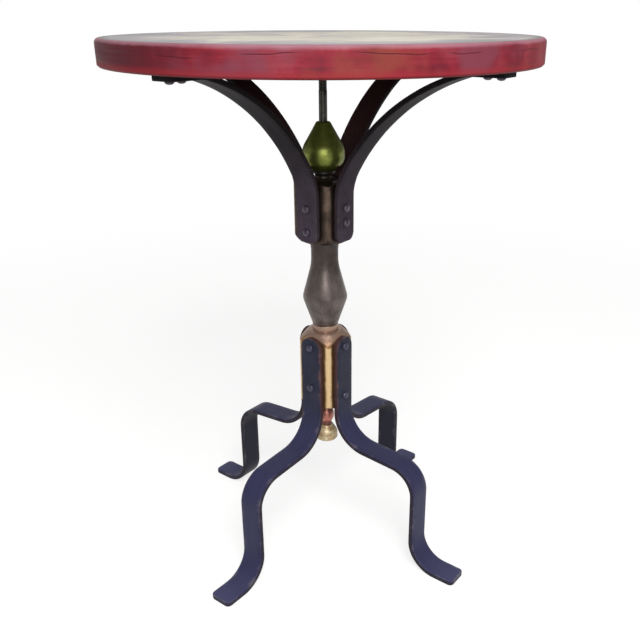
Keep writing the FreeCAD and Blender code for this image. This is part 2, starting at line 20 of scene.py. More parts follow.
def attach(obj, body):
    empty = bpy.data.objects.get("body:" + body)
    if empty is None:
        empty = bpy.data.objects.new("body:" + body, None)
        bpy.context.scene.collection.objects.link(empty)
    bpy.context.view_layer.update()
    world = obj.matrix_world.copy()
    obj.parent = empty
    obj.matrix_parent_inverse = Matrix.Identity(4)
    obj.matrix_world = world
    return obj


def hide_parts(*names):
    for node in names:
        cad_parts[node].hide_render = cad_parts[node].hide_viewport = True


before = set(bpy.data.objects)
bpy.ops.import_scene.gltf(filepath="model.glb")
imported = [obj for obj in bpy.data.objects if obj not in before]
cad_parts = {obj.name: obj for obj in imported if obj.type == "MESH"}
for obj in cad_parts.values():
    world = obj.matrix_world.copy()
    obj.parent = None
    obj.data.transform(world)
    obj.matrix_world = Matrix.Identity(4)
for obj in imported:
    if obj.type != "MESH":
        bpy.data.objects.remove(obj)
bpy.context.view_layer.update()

MM = 0.001
# Largest step of a rounded corner, and the most of a straight run that one rounding may take.
ARC_STEP_DEG = 7.0
ROUNDING_SHARE = 0.48
# Bend of an outline that counts as a full edge, where a square block's corner starts to count, and how much
# its rings count beside its corners.
FULL_EDGE_DEG = 14.0
CORNER_FROM = 0.66
BLOCK_RING_SHARE = 0.35
# Shares of a strap's half width where its arris and its flank start and are full, and the lengths in
# millimetres over which its tips and its trodden toe come up.
ARRIS_BAND = (0.88, 0.96)
FLANK_BAND = (0.95, 0.99)
TIP_BAND_MM = (4.0, 0.5)
TOE_BAND_MM = (60.0, 5.0)
LOG = logging.getLogger("lamp_table")
Colour = tuple[float, float, float, float]
Outline = Sequence[tuple[float, float, float]]


class Corner(Enum):
    """The four corners where a leg and an arm stand, by azimuth in degrees from above."""

    FRONT_LEFT = -135.0
    FRONT_RIGHT = -45.0
    BACK_RIGHT = 45.0
    BACK_LEFT = 135.0

    @property
    def label(self) -> str:
        """Corner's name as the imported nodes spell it."""
        return self.name.lower()

    @property
    def staggered(self) -> bool:
        """Whether this corner's bolts are set at the second pair of heights."""
        return self in (Corner.FRONT_RIGHT, Corner.BACK_LEFT)

    def outward(self) -> Vector:
        """Unit vector that points away from the post at this corner."""
        angle = math.radians(self.value)
        return Vector((math.cos(angle), math.sin(angle), 0.0))


def linear(hex_code: str) -> Colour:
    """Turns an sRGB hex value into a linear colour.

    Args:
        hex_code: Colour as #RRGGBB.

    Returns:
        Linear red, green, blue and an alpha of 1.
    """
    channels = [int(hex_code[place:place + 2], 16) / 255 for place in (1, 3, 5)]
    red, green, blue = (c / 12.92 if c <= 0.04045 else ((c + 0.055) / 1.055) ** 2.4 for c in channels)
    return red, green, blue, 1.0


def add_node(tree: bpy.types.NodeTree, kind: str, settings: dict | None = None, inputs: dict | None = None,
             stops: Sequence[tuple[float, Colour]] = ()) -> bpy.types.Node:
    """Adds one node with its settings, its constants and its links.

    Args:
        tree: Tree that the node goes into.
        kind: Blender's type name of the node.
        settings: Properties of the node by name.
        inputs: Constants, or output sockets to link, by the input's name or number.
        stops: Places and colours of a colour ramp.

    Returns:
        The new node.
    """
    node = tree.nodes.new(kind)
    for name, value in (settings or {}).items():
        setattr(node, name, value)
    for key, value in (inputs or {}).items():
        if isinstance(value, bpy.types.NodeSocket):
            tree.links.new(value, node.inputs[key])
        else:
            node.inputs[key].default_value = value
    for index, (place, colour) in enumerate(stops):
        elements = node.color_ramp.elements
        element = elements[index] if index < len(elements) else elements.new(place)
        element.position = place
        element.color = colour
    return node


def start_material(name: str) -> tuple[bpy.types.Material, Callable[..., bpy.types.Node]]:
    """Starts a node material with an empty tree.

    Args:
        name: Material's name.

    Returns:
        The material and the function that adds nodes to its tree.
    """
    material = bpy.data.materials.new(name)
    material.use_nodes = True
    material.node_tree.nodes.clear()
    return material, partial(add_node, material.node_tree)


def store_floats(mesh: bpy.types.Mesh, name: str, values: np.ndarray) -> None:
    """Stores one number per vertex as a named attribute of a mesh."""
    mesh.attributes.new(name, "FLOAT", "POINT").data.foreach_set("value", values.astype(np.float32).ravel())


def finished(name: str, mesh: bpy.types.Mesh, material: bpy.types.Material,
             nodes: Sequence[str]) -> bpy.types.Object:
    """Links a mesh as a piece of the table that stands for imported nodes.

    Args:
        name: Piece's name.
        mesh: Its mesh, already in place.
        material: Its finish.
        nodes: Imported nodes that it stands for.

    Returns:
        The linked object.
    """
    mesh.materials.clear()
    mesh.materials.append(material)
    piece = bpy.data.objects.new(name, mesh)
    bpy.context.scene.collection.objects.link(piece)
    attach(piece, "root")
    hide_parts(*nodes)
    LOG.info("%s: %d faces for %s", name, len(mesh.polygons), ", ".join(nodes))
    return piece


def baked(carrier: bpy.types.Object, tree: bpy.types.NodeTree, values: dict[str, object]) -> bpy.types.Mesh:
    """Runs a Geometry Nodes tree on a carrier and keeps the result as a plain mesh.

    Args:
        carrier: Object whose mesh feeds the tree; it is removed afterwards.
        tree: Tree to run.
        values: Inputs of the tree by name.

    Returns:
        The baked mesh.
    """
    bpy.context.scene.collection.objects.link(carrier)
    modifier = carrier.modifiers.new("shape", "NODES")
    modifier.node_group = tree
    for item in tree.interface.items_tree:
        if item.in_out == "INPUT" and item.name in values:
            modifier[item.identifier] = values[item.name]
    evaluated = carrier.evaluated_get(bpy.context.evaluated_depsgraph_get())
    mesh = bpy.data.meshes.new_from_object(evaluated)
    source = carrier.data
    bpy.data.objects.remove(carrier)
    bpy.data.meshes.remove(source)
    return mesh


def rounded_outline(corners: Outline, longest: float = 2.0) -> np.ndarray:
    """Closed turning outline through corners, rounded as far as their runs allow.

    Args:
        corners: Radius, height and rounding of each corner in millimetres.
        longest: Longest straight step in millimetres.

    Returns:
        Rows of radius and height in millimetres, anticlockwise.
    """
    points = [np.array(corner[:2]) for corner in corners]
    arcs: list[list[np.ndarray]] = []
    for index, (point, corner) in enumerate(zip(points, corners)):
        back = points[index - 1] - point
        ahead = points[(index + 1) % len(points)] - point
        runs = np.linalg.norm(back), np.linalg.norm(ahead)
        back, ahead = back / runs[0], ahead / runs[1]
        if corner[2] == 0:
            arcs.append([point])
            continue
        half = math.acos(float(np.clip(back @ ahead, -1, 1))) / 2
        reach = min(corner[2] / math.tan(half), ROUNDING_SHARE * min(runs))
        radius = reach * math.tan(half)
        inward = (back + ahead) / np.linalg.norm(back + ahead)
        centre = point + inward * radius / math.sin(half)
        sweep = math.pi - 2 * half
        steps = max(3, math.ceil(math.degrees(sweep) / ARC_STEP_DEG), math.ceil(radius * sweep / longest))
        side = point + back * reach - centre
        turn = 1 if back[0] * ahead[1] - back[1] * ahead[0] < 0 else -1
        arcs.append([centre + np.array((side[0] * math.cos(a) - side[1] * math.sin(a),
                                        side[0] * math.sin(a) + side[1] * math.cos(a)))
                     for a in np.linspace(0, turn * sweep, steps + 1)])
    rows: list[np.ndarray] = []
    for arc, following in zip(arcs, arcs[1:] + arcs[:1]):
        rows += arc
        gap = following[0] - arc[-1]
        count = math.ceil(np.linalg.norm(gap) / longest)
        rows += [arc[-1] + gap * step / count for step in range(1, count)]
    return np.array(rows)


def lathe_mesh(name: str, rows: np.ndarray, segments: int,
               reach: Callable[[np.ndarray], np.ndarray] | None = None) -> bpy.types.Mesh:
    """Mesh of a closed outline swept round the table's axis.

    Args:
        name: Mesh's name.
        rows: Radius and height of the outline in millimetres.
        segments: Number of steps round the axis.
        reach: Limit of the radius by azimuth, for a block that stays square.

    Returns:
        A closed mesh with an edge attribute, which is 1 where the outline or the square turns sharply.
    """
    angles = np.arange(segments) * (2 * math.pi / segments)
    radius = np.repeat(rows[:, :1], segments, axis=1)
    before = np.roll(rows, 1, axis=0) - rows
    after = np.roll(rows, -1, axis=0) - rows
    bend = np.degrees(np.arctan2(before[:, 1], before[:, 0]) - np.arctan2(after[:, 1], after[:, 0])) % 360
    edge = np.repeat(np.clip((180 - bend) / FULL_EDGE_DEG, 0, 1)[:, None], segments, axis=1)
    if reach is not None:
        # On a square block the edge attribute runs up to 1 on its rounded corners, where the finishes paint a
        # highlight.
        limit = reach(angles)
        cut = np.minimum(radius, limit)
        corner = (limit - limit.min()) / (limit.max() - limit.min())
        corner = np.clip((corner - CORNER_FROM) / (1 - CORNER_FROM), 0, 1)
        edge = np.where(radius > cut, corner, BLOCK_RING_SHARE * edge)
        radius = cut
    heights = np.repeat(rows[:, 1:], segments, axis=1)
    vertices = np.stack((radius * np.cos(angles), radius * np.sin(angles), heights), axis=-1)
    vertices = vertices.reshape(-1, 3) * MM
    index = np.arange(len(rows) * segments).reshape(len(rows), segments)
    right = np.roll(index, -1, axis=1)
    quads = np.stack((index, right, np.roll(right, -1, axis=0), np.roll(index, -1, axis=0)), axis=-1)
    mesh = bpy.data.meshes.new(name)
    mesh.from_pydata(vertices.tolist(), [], quads.reshape(-1, 4).tolist())
    store_floats(mesh, "edge", edge)
    mesh.polygons.foreach_set("use_smooth", [True] * len(mesh.polygons))
    mesh.set_sharp_from_angle(angle=math.radians(38))
    return mesh


@dataclass(frozen=True)
class PaintedIron:
    """Hot-rolled mild-steel strap under brushed satin paint, its arrises rubbed to brown and given a painted
    highlight.

    The paint clouds from one coat to the next, its brush marks run along the strap, and its gloss is low. It
    shifts towards the far end, partly as painted light and shade, and the strap's inner faces take another
    colour:
    darker on a leg, a painted reddish reflection on an arm.
    """

    name: str
    coat_hex: str
    tint_hex: str
    pool_hex: str
    far_light_and_shade_hex: str
    wear_and_highlight_hex: str
    scuff_and_highlight_hex: str
    toe_wear_and_light_hex: str
    flank_hex: str
    low_flank_hex: str
    inner_hex: str
    roughness: float
    wear_share: float
    toe_share: float
    specular: float
    fade_mm: tuple[float, float]
    inner_share: float
    cloud_mm: float = 46.0
    # Real brush marks are about 0.5 mm apart and grit about 0.2 mm. Both are drawn coarser so that they show.
    brush_mm: float = 2.2
    brush_run_mm: float = 60.0
    chip_mm: float = 16.0
    grit_mm: float = 1.1
    brush_relief_mm: float = 0.25
    grit_relief_mm: float = 0.2
    far_share: float = 0.85
    streak_share: float = 0.55
    flank_share: float = 0.75
    ior: float = 1.45

    def material(self) -> bpy.types.Material:
        """Material that follows the strap's own lay, and wears and takes a painted highlight where its edge
        attribute is high.
        """
        material, node = start_material(self.name)
        lay = node("ShaderNodeAttribute", {"attribute_name": "lay"}).outputs["Vector"]
        edge, toe, flank, skin = (node("ShaderNodeAttribute", {"attribute_name": name}).outputs["Fac"]
                                  for name in ("edge", "toe", "flank", "skin"))
        place = node("ShaderNodeTexCoord").outputs["Object"]
        cloud = node("ShaderNodeTexNoise", inputs={
            "Vector": place, "Scale": 1 / (self.cloud_mm * MM), "Detail": 4.0, "Roughness": 0.6})
        along, beside = 1 / (self.brush_run_mm * MM), 1 / (self.brush_mm * MM)
        brushed = node("ShaderNodeMapping", inputs={"Vector": lay, "Scale": (along, beside, beside)})
        brush = node("ShaderNodeTexNoise", inputs={
            "Vector": brushed.outputs["Vector"], "Scale": 1.0, "Detail": 3.0, "Roughness": 0.65})
        chips = node("ShaderNodeTexNoise", inputs={
            "Vector": place, "Scale": 1 / (self.chip_mm * MM), "Detail": 5.0, "Roughness": 0.7})
        grit = node("ShaderNodeTexNoise", inputs={
            "Vector": place, "Scale": 1 / (self.grit_mm * MM), "Detail": 2.0, "Roughness": 0.5})
        coat = node("ShaderNodeValToRGB", inputs={"Fac": cloud.outputs["Fac"]}, stops=[
            (0.30, linear(self.pool_hex)), (0.50, linear(self.coat_hex)), (0.72, linear(self.tint_hex))])
        run = node("ShaderNodeSeparateXYZ", inputs={0: lay}).outputs["X"]
        # Painted light and shade along the strap: a leg goes lighter and bluer past the hub, partly painted
        # light on its upward-facing runs and feet, and an arm goes near black towards the top, painted shade
        # under the table top.
        far = node("ShaderNodeMapRange", {"interpolation_type": "SMOOTHSTEP"}, {
            "Value": run, "From Min": self.fade_mm[0] * MM, "From Max": self.fade_mm[1] * MM,
            "To Max": self.far_share})
        faded = node("ShaderNodeMix", {"data_type": "RGBA"}, {
            0: far.outputs["Result"], 6: coat.outputs["Color"], 7: linear(self.far_light_and_shade_hex)})
        # Lighter, bluer toes on a leg: partly rubbed paint, partly painted light on the feet's upper faces.
        toe_wear_and_light = node("ShaderNodeMath", {"operation": "MULTIPLY"}, {0: toe, 1: 3.0 * self.toe_share})
        lighter = node("ShaderNodeMix", {"data_type": "RGBA"}, {
            0: toe_wear_and_light.outputs["Value"], 6: faded.outputs[2], 7: linear(self.toe_wear_and_light_hex)})
        streaks = node("ShaderNodeValToRGB", inputs={"Fac": brush.outputs["Fac"]}, stops=[
            (0.32, (0.66, 0.64, 0.64, 1.0)), (0.60, (1.0, 1.0, 1.0, 1.0)), (0.78, (1.25, 1.24, 1.22, 1.0))])
        # Inner faces: darker on a leg; on an arm a lighter red-brown, a painted reflection of the crimson rim.
        inward = node("ShaderNodeMapRange", inputs={
            "Value": skin, "From Min": -0.1, "From Max": -0.4, "To Max": self.inner_share})
        inner_faces_tinted = node("ShaderNodeMix", {"data_type": "RGBA"}, {
            0: inward.outputs["Result"], 6: lighter.outputs[2], 7: linear(self.inner_hex)})
        streaked = node("ShaderNodeMix", {"data_type": "RGBA", "blend_type": "MULTIPLY"},
                        {0: self.streak_share, 6: inner_faces_tinted.outputs[2], 7: streaks.outputs["Color"]})
        # Side faces: brown near the start and near black farther on; on an arm that near black is painted shade
        # under the table top.
        flank_tone_and_shade = node("ShaderNodeMix", {"data_type": "RGBA"}, {
            0: far.outputs["Result"], 6: linear(self.flank_hex), 7: linear(self.low_flank_hex)})
        sided = node("ShaderNodeMath", {"operation": "MULTIPLY"}, {0: flank, 1: self.flank_share})
        flanked = node("ShaderNodeMix", {"data_type": "RGBA"}, {
            0: sided.outputs["Value"], 6: streaked.outputs[2], 7: flank_tone_and_shade.outputs[2]})
        # Lighter arrises: rubbed paint and a painted highlight along the edges.
        arris = node("ShaderNodeMath", {"operation": "MULTIPLY_ADD"}, {0: flank, 1: -0.6, 2: edge})
        wear_and_highlight = node("ShaderNodeMath", {"operation": "MULTIPLY_ADD"},
                      {0: arris.outputs["Value"], 1: self.wear_share, 2: chips.outputs["Fac"]})
        worn_and_highlit = node("ShaderNodeMapRange", inputs={
            "Value": wear_and_highlight.outputs["Value"], "From Min": 0.70, "From Max": 1.0})
        edge_wear_and_highlight_colour = node("ShaderNodeMix", {"data_type": "RGBA"}, {
            0: far.outputs["Result"], 6: linear(self.wear_and_highlight_hex), 7: linear(self.scuff_and_highlight_hex)})
        edge_worn_and_highlit = node("ShaderNodeMix", {"data_type": "RGBA"}, {
            0: worn_and_highlit.outputs["Result"], 6: flanked.outputs[2], 7: edge_wear_and_highlight_colour.outputs[2]})
        scrape_and_highlight = node("ShaderNodeMath", {"operation": "MULTIPLY_ADD"},
                       {0: toe, 1: self.toe_share, 2: wear_and_highlight.outputs["Value"]})
        scuff_and_highlight = node("ShaderNodeMapRange", inputs={
            "Value": scrape_and_highlight.outputs["Value"], "From Min": 0.92, "From Max": 1.2, "To Max": 0.7})
        colour = node("ShaderNodeMix", {"data_type": "RGBA"}, {
            0: scuff_and_highlight.outputs["Result"], 6: edge_worn_and_highlit.outputs[2], 7: linear(self.scuff_and_highlight_hex)})
        gloss = node("ShaderNodeMapRange", inputs={
            "Value": brush.outputs["Fac"], "From Min": 0.3, "From Max": 0.7,
            "To Min": self.roughness - 0.07, "To Max": self.roughness + 0.10})
        relief = node("ShaderNodeBump", inputs={
            "Height": brush.outputs["Fac"], "Strength": 0.35, "Distance": self.brush_relief_mm * MM})
        pitted = node("ShaderNodeBump", inputs={
            "Height": grit.outputs["Fac"], "Strength": 0.25, "Distance": self.grit_relief_mm * MM,
            "Normal": relief.outputs["Normal"]})
        shader = node("ShaderNodeBsdfPrincipled", inputs={
            "Base Color": colour.outputs[2], "Roughness": gloss.outputs["Result"],
            "Normal": pitted.outputs["Normal"], "IOR": self.ior, "Specular IOR Level": self.specular})
        node("ShaderNodeOutputMaterial", inputs={"Surface": shader.outputs["BSDF"]})
        return material


@dataclass(frozen=True)
class TurnedFinish:
    """Lathe-turned hardwood under metallic or satin paint, with darker glaze and lighter edges.

    Fine tool rings run round the piece, the glaze gathers in clouds, and the highest edges show a lighter coat,
    which on a square block's corners is a painted highlight.
    """

    name: str
    dark_hex: str
    mid_hex: str
    light_hex: str
    edge_hex: str
    metallic: float
    roughness: float
    edge_share: float
    mottle_mm: float = 14.0
    # Real tool rings are about 0.4 mm apart, and are drawn coarser so that they show.
    ring_mm: float = 1.6
    drag_mm: float = 30.0
    upright: bool = False
    marks_share: float = 0.32
    relief: float = 0.30
    ring_relief_mm: float = 0.25
    lump_relief_mm: float = 0.6
    # These crown and foot heights lie above and below every piece, so that neither shows unless it is given.
    crown_tint_and_shade_hex: str = "#AC9082"
    crown_mm: tuple[float, float] = (2000.0, 2001.0)
    foot_shade_hex: str = "#42201A"
    foot_mm: tuple[float, float] = (-2.0, -1.0)
    spread: tuple[float, float, float] = (0.32, 0.50, 0.70)

    def material(self) -> bpy.types.Material:
        """Material on object coordinates, with rings round the axis or streaks along it."""
        material, node = start_material(self.name)
        place = node("ShaderNodeTexCoord").outputs["Object"]
        edge = node("ShaderNodeAttribute", {"attribute_name": "edge"}).outputs["Fac"]
        fine, long = 1 / (self.ring_mm * MM), 1 / (self.drag_mm * MM)
        grain = node("ShaderNodeMapping", inputs={
            "Vector": place, "Scale": (fine, fine, long) if self.upright else (long, long, fine)})
        marks = node("ShaderNodeTexNoise", inputs={
            "Vector": grain.outputs["Vector"], "Scale": 1.0, "Detail": 3.0, "Roughness": 0.6})
        mottle = node("ShaderNodeTexNoise", inputs={
            "Vector": place, "Scale": 1 / (self.mottle_mm * MM), "Detail": 5.0, "Roughness": 0.65,
            "Distortion": 0.4})
        blend = node("ShaderNodeMix", {"data_type": "FLOAT"},
                     {0: self.marks_share, 2: mottle.outputs["Fac"], 3: marks.outputs["Fac"]})
        glaze = node("ShaderNodeValToRGB", inputs={"Fac": blend.outputs[0]}, stops=list(zip(
            self.spread, (linear(self.dark_hex), linear(self.mid_hex), linear(self.light_hex)))))
        height = node("ShaderNodeSeparateXYZ", inputs={0: place}).outputs["Z"]
        # Top band: a rosy tint on the hub's dome, and painted shade on the baluster's neck and above the bead's
        # belly.
        crown = node("ShaderNodeMapRange", inputs={
            "Value": height, "From Min": self.crown_mm[0] * MM, "From Max": self.crown_mm[1] * MM,
            "To Max": 0.7})
        capped = node("ShaderNodeMix", {"data_type": "RGBA"}, {
            0: crown.outputs["Result"], 6: glaze.outputs["Color"], 7: linear(self.crown_tint_and_shade_hex)})
        # Foot band: painted shade in the hollow below the bead's belly.
        foot_shade = node("ShaderNodeMapRange", inputs={
            "Value": height, "From Min": self.foot_mm[1] * MM, "From Max": self.foot_mm[0] * MM,
            "To Max": 0.8})
        foot_shaded = node("ShaderNodeMix", {"data_type": "RGBA"}, {
            0: foot_shade.outputs["Result"], 6: capped.outputs[2], 7: linear(self.foot_shade_hex)})
        # Lighter edges: a painted highlight on a square block's corners, and a lighter coat on the rings.
        wear_and_highlight = node("ShaderNodeMath", {"operation": "MULTIPLY_ADD"},
                      {0: edge, 1: self.edge_share, 2: mottle.outputs["Fac"]})
        bright = node("ShaderNodeMapRange", inputs={
            "Value": wear_and_highlight.outputs["Value"], "From Min": 0.66, "From Max": 1.05, "To Max": 0.9})
        colour = node("ShaderNodeMix", {"data_type": "RGBA"}, {
            0: bright.outputs["Result"], 6: foot_shaded.outputs[2], 7: linear(self.edge_hex)})
        gloss = node("ShaderNodeMapRange", inputs={
            "Value": blend.outputs[0], "From Min": 0.3, "From Max": 0.7,
            "To Min": self.roughness + 0.10, "To Max": self.roughness - 0.06})
        relief = node("ShaderNodeBump", inputs={
            "Height": marks.outputs["Fac"], "Strength": self.relief, "Distance": self.ring_relief_mm * MM})
        lumps = node("ShaderNodeBump", inputs={
            "Height": mottle.outputs["Fac"], "Strength": 0.25, "Distance": self.lump_relief_mm * MM,
            "Normal": relief.outputs["Normal"]})
        shader = node("ShaderNodeBsdfPrincipled", inputs={
            "Base Color": colour.outputs[2], "Roughness": gloss.outputs["Result"],
            "Normal": lumps.outputs["Normal"], "Metallic": self.metallic})
        node("ShaderNodeOutputMaterial", inputs={"Surface": shader.outputs["BSDF"]})
        return material


@dataclass(frozen=True)
class TopPaint:
    """Edge-glued pine boards: a crimson brushed rim, a washed pale face and a dark stained underside.

    The rim's paint drags sideways, darkens towards the left as painted shade, and thins to pink on the arris,
    which also carries a painted highlight, and the face is a soft mottled wash.
    """

    # Pine boards under brushed acrylic glazes: satin crimson that shifts to mauve and earth, and a chalky pale
    # face.
    name: str = "crimson_and_wash_on_pine"
    rim_left_shade_hex: str = "#521420"
    rim_shade_hex: str = "#681D2A"
    rim_mid_hex: str = "#8C2635"
    rim_light_hex: str = "#A23C46"
    rim_earth_hex: str = "#8E4236"
    rim_haze_hex: str = "#84404F"
    rim_foot_shade_hex: str = "#9E2C33"
    arris_thin_paint_and_highlight_hex: str = "#A0707C"
    crack_hex: str = "#561D27"
    pale_hex: str = "#DCD8CA"
    cream_hex: str = "#CBC6B6"
    grey_hex: str = "#949491"
    lavender_hex: str = "#ACA5AA"
    brim_hex: str = "#6E7270"
    stain_dark_hex: str = "#2B1C16"
    stain_mid_hex: str = "#4A3024"
    drag_mm: float = 90.0
    # Real bristle marks are about 0.5 mm apart, and are drawn coarser so that they show.
    bristle_mm: float = 3.4
    patch_mm: float = 42.0
    wash_mm: float = 85.0
    cream_radius_mm: float = 150.0
    brim_radius_mm: float = 236.0
    foot_mm: tuple[float, float] = (640.0, 647.0)
    left_shade_mm: tuple[float, float] = (-100.0, -210.0)
    haze_mm: float = 84.0
    haze_seed: float = 8.0
    sweep_mm: float = 5.0
    sweep_run_mm: float = 110.0
    brim_band_mm: tuple[float, float] = (8.0, 18.0)
    grain_mm: float = 2.4
    grain_run_mm: float = 140.0
    relief_mm: float = 0.3
    gloss: tuple[float, float] = (0.50, 0.66)
    ior: float = 1.48
    specular: float = 0.2

    def material(self) -> bpy.types.Material:
        """Material that tells rim, face and underside apart by the boards' own attributes."""
        material, node = start_material(self.name)
        place = node("ShaderNodeTexCoord").outputs["Object"]
        face, under, arris, crack = (node("ShaderNodeAttribute", {"attribute_name": name}).outputs["Fac"]
                                     for name in ("face", "under", "arris", "crack"))
        drag, bristle = 1 / (self.drag_mm * MM), 1 / (self.bristle_mm * MM)
        dragged = node("ShaderNodeMapping", inputs={"Vector": place, "Scale": (drag, drag, bristle)})
        streak = node("ShaderNodeTexNoise", inputs={
            "Vector": dragged.outputs["Vector"], "Scale": 1.0, "Detail": 4.0, "Roughness": 0.62})
        patch = node("ShaderNodeTexNoise", inputs={
            "Vector": place, "Scale": 1 / (self.patch_mm * MM), "Detail": 4.0, "Roughness": 0.6})
        haze = node("ShaderNodeTexNoise", {"noise_dimensions": "4D"}, {
            "Vector": place, "W": self.haze_seed, "Scale": 1 / (self.haze_mm * MM), "Detail": 3.0,
            "Roughness": 0.6})
        both = node("ShaderNodeMix", {"data_type": "FLOAT"},
                    {0: 0.3, 2: patch.outputs["Fac"], 3: streak.outputs["Fac"]})
        crimson = node("ShaderNodeValToRGB", inputs={"Fac": both.outputs[0]}, stops=[
            (0.34, linear(self.rim_shade_hex)), (0.50, linear(self.rim_mid_hex)),
            (0.66, linear(self.rim_light_hex))])
        earthy = node("ShaderNodeMapRange", {"interpolation_type": "SMOOTHSTEP"}, {
            "Value": haze.outputs["Fac"], "From Min": 0.52, "From Max": 0.66, "To Max": 0.75})
        warmed = node("ShaderNodeMix", {"data_type": "RGBA"}, {
            0: earthy.outputs["Result"], 6: crimson.outputs["Color"], 7: linear(self.rim_earth_hex)})
        misty = node("ShaderNodeMapRange", {"interpolation_type": "SMOOTHSTEP"}, {
            "Value": haze.outputs["Fac"], "From Min": 0.51, "From Max": 0.38, "To Max": 0.85})
        rim = node("ShaderNodeMix", {"data_type": "RGBA"}, {
            0: misty.outputs["Result"], 6: warmed.outputs[2], 7: linear(self.rim_haze_hex)})
        spot = node("ShaderNodeSeparateXYZ", inputs={0: place})
        # Painted shade: the rim darkens towards its left side.
        left_side_shade = node("ShaderNodeMapRange", {"interpolation_type": "SMOOTHSTEP"}, {
            "Value": spot.outputs["X"], "From Min": self.left_shade_mm[0] * MM, "From Max": self.left_shade_mm[1] * MM,
            "To Max": 0.85})
        rim = node("ShaderNodeMix", {"data_type": "RGBA"}, {
            0: left_side_shade.outputs["Result"], 6: rim.outputs[2], 7: linear(self.rim_left_shade_hex)})
        low = node("ShaderNodeMapRange", {"interpolation_type": "SMOOTHSTEP"}, {
            "Value": spot.outputs["Z"], "From Min": self.foot_mm[1] * MM, "From Max": self.foot_mm[0] * MM,
            "To Max": 0.6})
        rim = node("ShaderNodeMix", {"data_type": "RGBA"}, {
            0: low.outputs["Result"], 6: rim.outputs[2], 7: linear(self.rim_foot_shade_hex)})
        # Pink arris: thinner paint and a painted highlight where the rim turns over to the face.
        thin_paint_and_highlight = node("ShaderNodeMath", {"operation": "MULTIPLY_ADD"},
                    {0: arris, 1: 0.75, 2: both.outputs[0]})
        pink = node("ShaderNodeMapRange", inputs={
            "Value": thin_paint_and_highlight.outputs["Value"], "From Min": 0.80, "From Max": 1.30, "To Max": 0.9})
        edged = node("ShaderNodeMix", {"data_type": "RGBA"}, {
            0: pink.outputs["Result"], 6: rim.outputs[2], 7: linear(self.arris_thin_paint_and_highlight_hex)})
        cloud = node("ShaderNodeTexNoise", inputs={
            "Vector": place, "Scale": 1 / (self.wash_mm * MM), "Detail": 5.0, "Roughness": 0.58,
            "Distortion": 0.8})
        along, beside = 1 / (self.sweep_run_mm * MM), 1 / (self.sweep_mm * MM)
        swept = node("ShaderNodeMapping", inputs={"Vector": place, "Scale": (along, beside, beside)})
        sweep = node("ShaderNodeTexNoise", inputs={
            "Vector": swept.outputs["Vector"], "Scale": 1.0, "Detail": 4.0, "Roughness": 0.6})
        mixed = node("ShaderNodeMix", {"data_type": "FLOAT"},
                     {0: 0.35, 2: cloud.outputs["Fac"], 3: sweep.outputs["Fac"]})
        level = node("ShaderNodeVectorMath", {"operation": "MULTIPLY"}, {0: place, 1: (1.0, 1.0, 0.0)})
        radius = node("ShaderNodeVectorMath", {"operation": "LENGTH"}, {0: level.outputs["Vector"]})
        radius = radius.outputs["Value"]
        outer = node("ShaderNodeMapRange", {"interpolation_type": "SMOOTHSTEP"}, {
            "Value": radius, "From Min": self.cream_radius_mm * MM, "From Max": self.brim_radius_mm * MM,
            "To Min": 0.05, "To Max": -0.09})
        drift = node("ShaderNodeMath", {"operation": "ADD"}, {0: mixed.outputs[0], 1: outer.outputs["Result"]})
        wash = node("ShaderNodeValToRGB", inputs={"Fac": drift.outputs["Value"]}, stops=[
            (0.33, linear(self.grey_hex)), (0.45, linear(self.lavender_hex)), (0.54, linear(self.cream_hex)),
            (0.72, linear(self.pale_hex))])
        ragged = node("ShaderNodeMath", {"operation": "MULTIPLY_ADD"},
                      {0: cloud.outputs["Fac"], 1: 0.02, 2: radius})
        brim_from, brim_to = ((self.brim_radius_mm + reach) * MM for reach in self.brim_band_mm)
        brim = node("ShaderNodeMapRange", inputs={
            "Value": ragged.outputs["Value"], "From Min": brim_from, "From Max": brim_to, "To Max": 0.8})
        rimmed = node("ShaderNodeMix", {"data_type": "RGBA"}, {
            0: brim.outputs["Result"], 6: wash.outputs["Color"], 7: linear(self.brim_hex)})
        painted = node("ShaderNodeMix", {"data_type": "RGBA"},
                       {0: face, 6: edged.outputs[2], 7: rimmed.outputs[2]})
        along, beside = 1 / (self.grain_run_mm * MM), 1 / (self.grain_mm * MM)
        wooden = node("ShaderNodeMapping", inputs={"Vector": place, "Scale": (along, beside, beside)})
        grain = node("ShaderNodeTexNoise", inputs={
            "Vector": wooden.outputs["Vector"], "Scale": 1.0, "Detail": 5.0, "Roughness": 0.6,
            "Distortion": 0.3})
        stain = node("ShaderNodeValToRGB", inputs={"Fac": grain.outputs["Fac"]}, stops=[
            (0.35, linear(self.stain_dark_hex)), (0.65, linear(self.stain_mid_hex))])
        sided = node("ShaderNodeMix", {"data_type": "RGBA"},
                     {0: under, 6: painted.outputs[2], 7: stain.outputs["Color"]})
        colour = node("ShaderNodeMix", {"data_type": "RGBA"},
                      {0: crack, 6: sided.outputs[2], 7: linear(self.crack_hex)})
        gloss = node("ShaderNodeMapRange", inputs={
            "Value": streak.outputs["Fac"], "From Min": 0.3, "From Max": 0.7, "To Min": self.gloss[0],
            "To Max": self.gloss[1]})
        ridges = node("ShaderNodeBump", inputs={
            "Height": streak.outputs["Fac"], "Strength": 0.2, "Distance": self.relief_mm * MM})
        fibres = node("ShaderNodeBump", inputs={
            "Height": sweep.outputs["Fac"], "Strength": 0.25, "Distance": self.relief_mm * MM,
            "Normal": ridges.outputs["Normal"]})
        shader = node("ShaderNodeBsdfPrincipled", inputs={
            "Base Color": colour.outputs[2], "Roughness": gloss.outputs["Result"],
            "Normal": fibres.outputs["Normal"], "IOR": self.ior, "Specular IOR Level": self.specular})
        node("ShaderNodeOutputMaterial", inputs={"Surface": shader.outputs["BSDF"]})
        return material


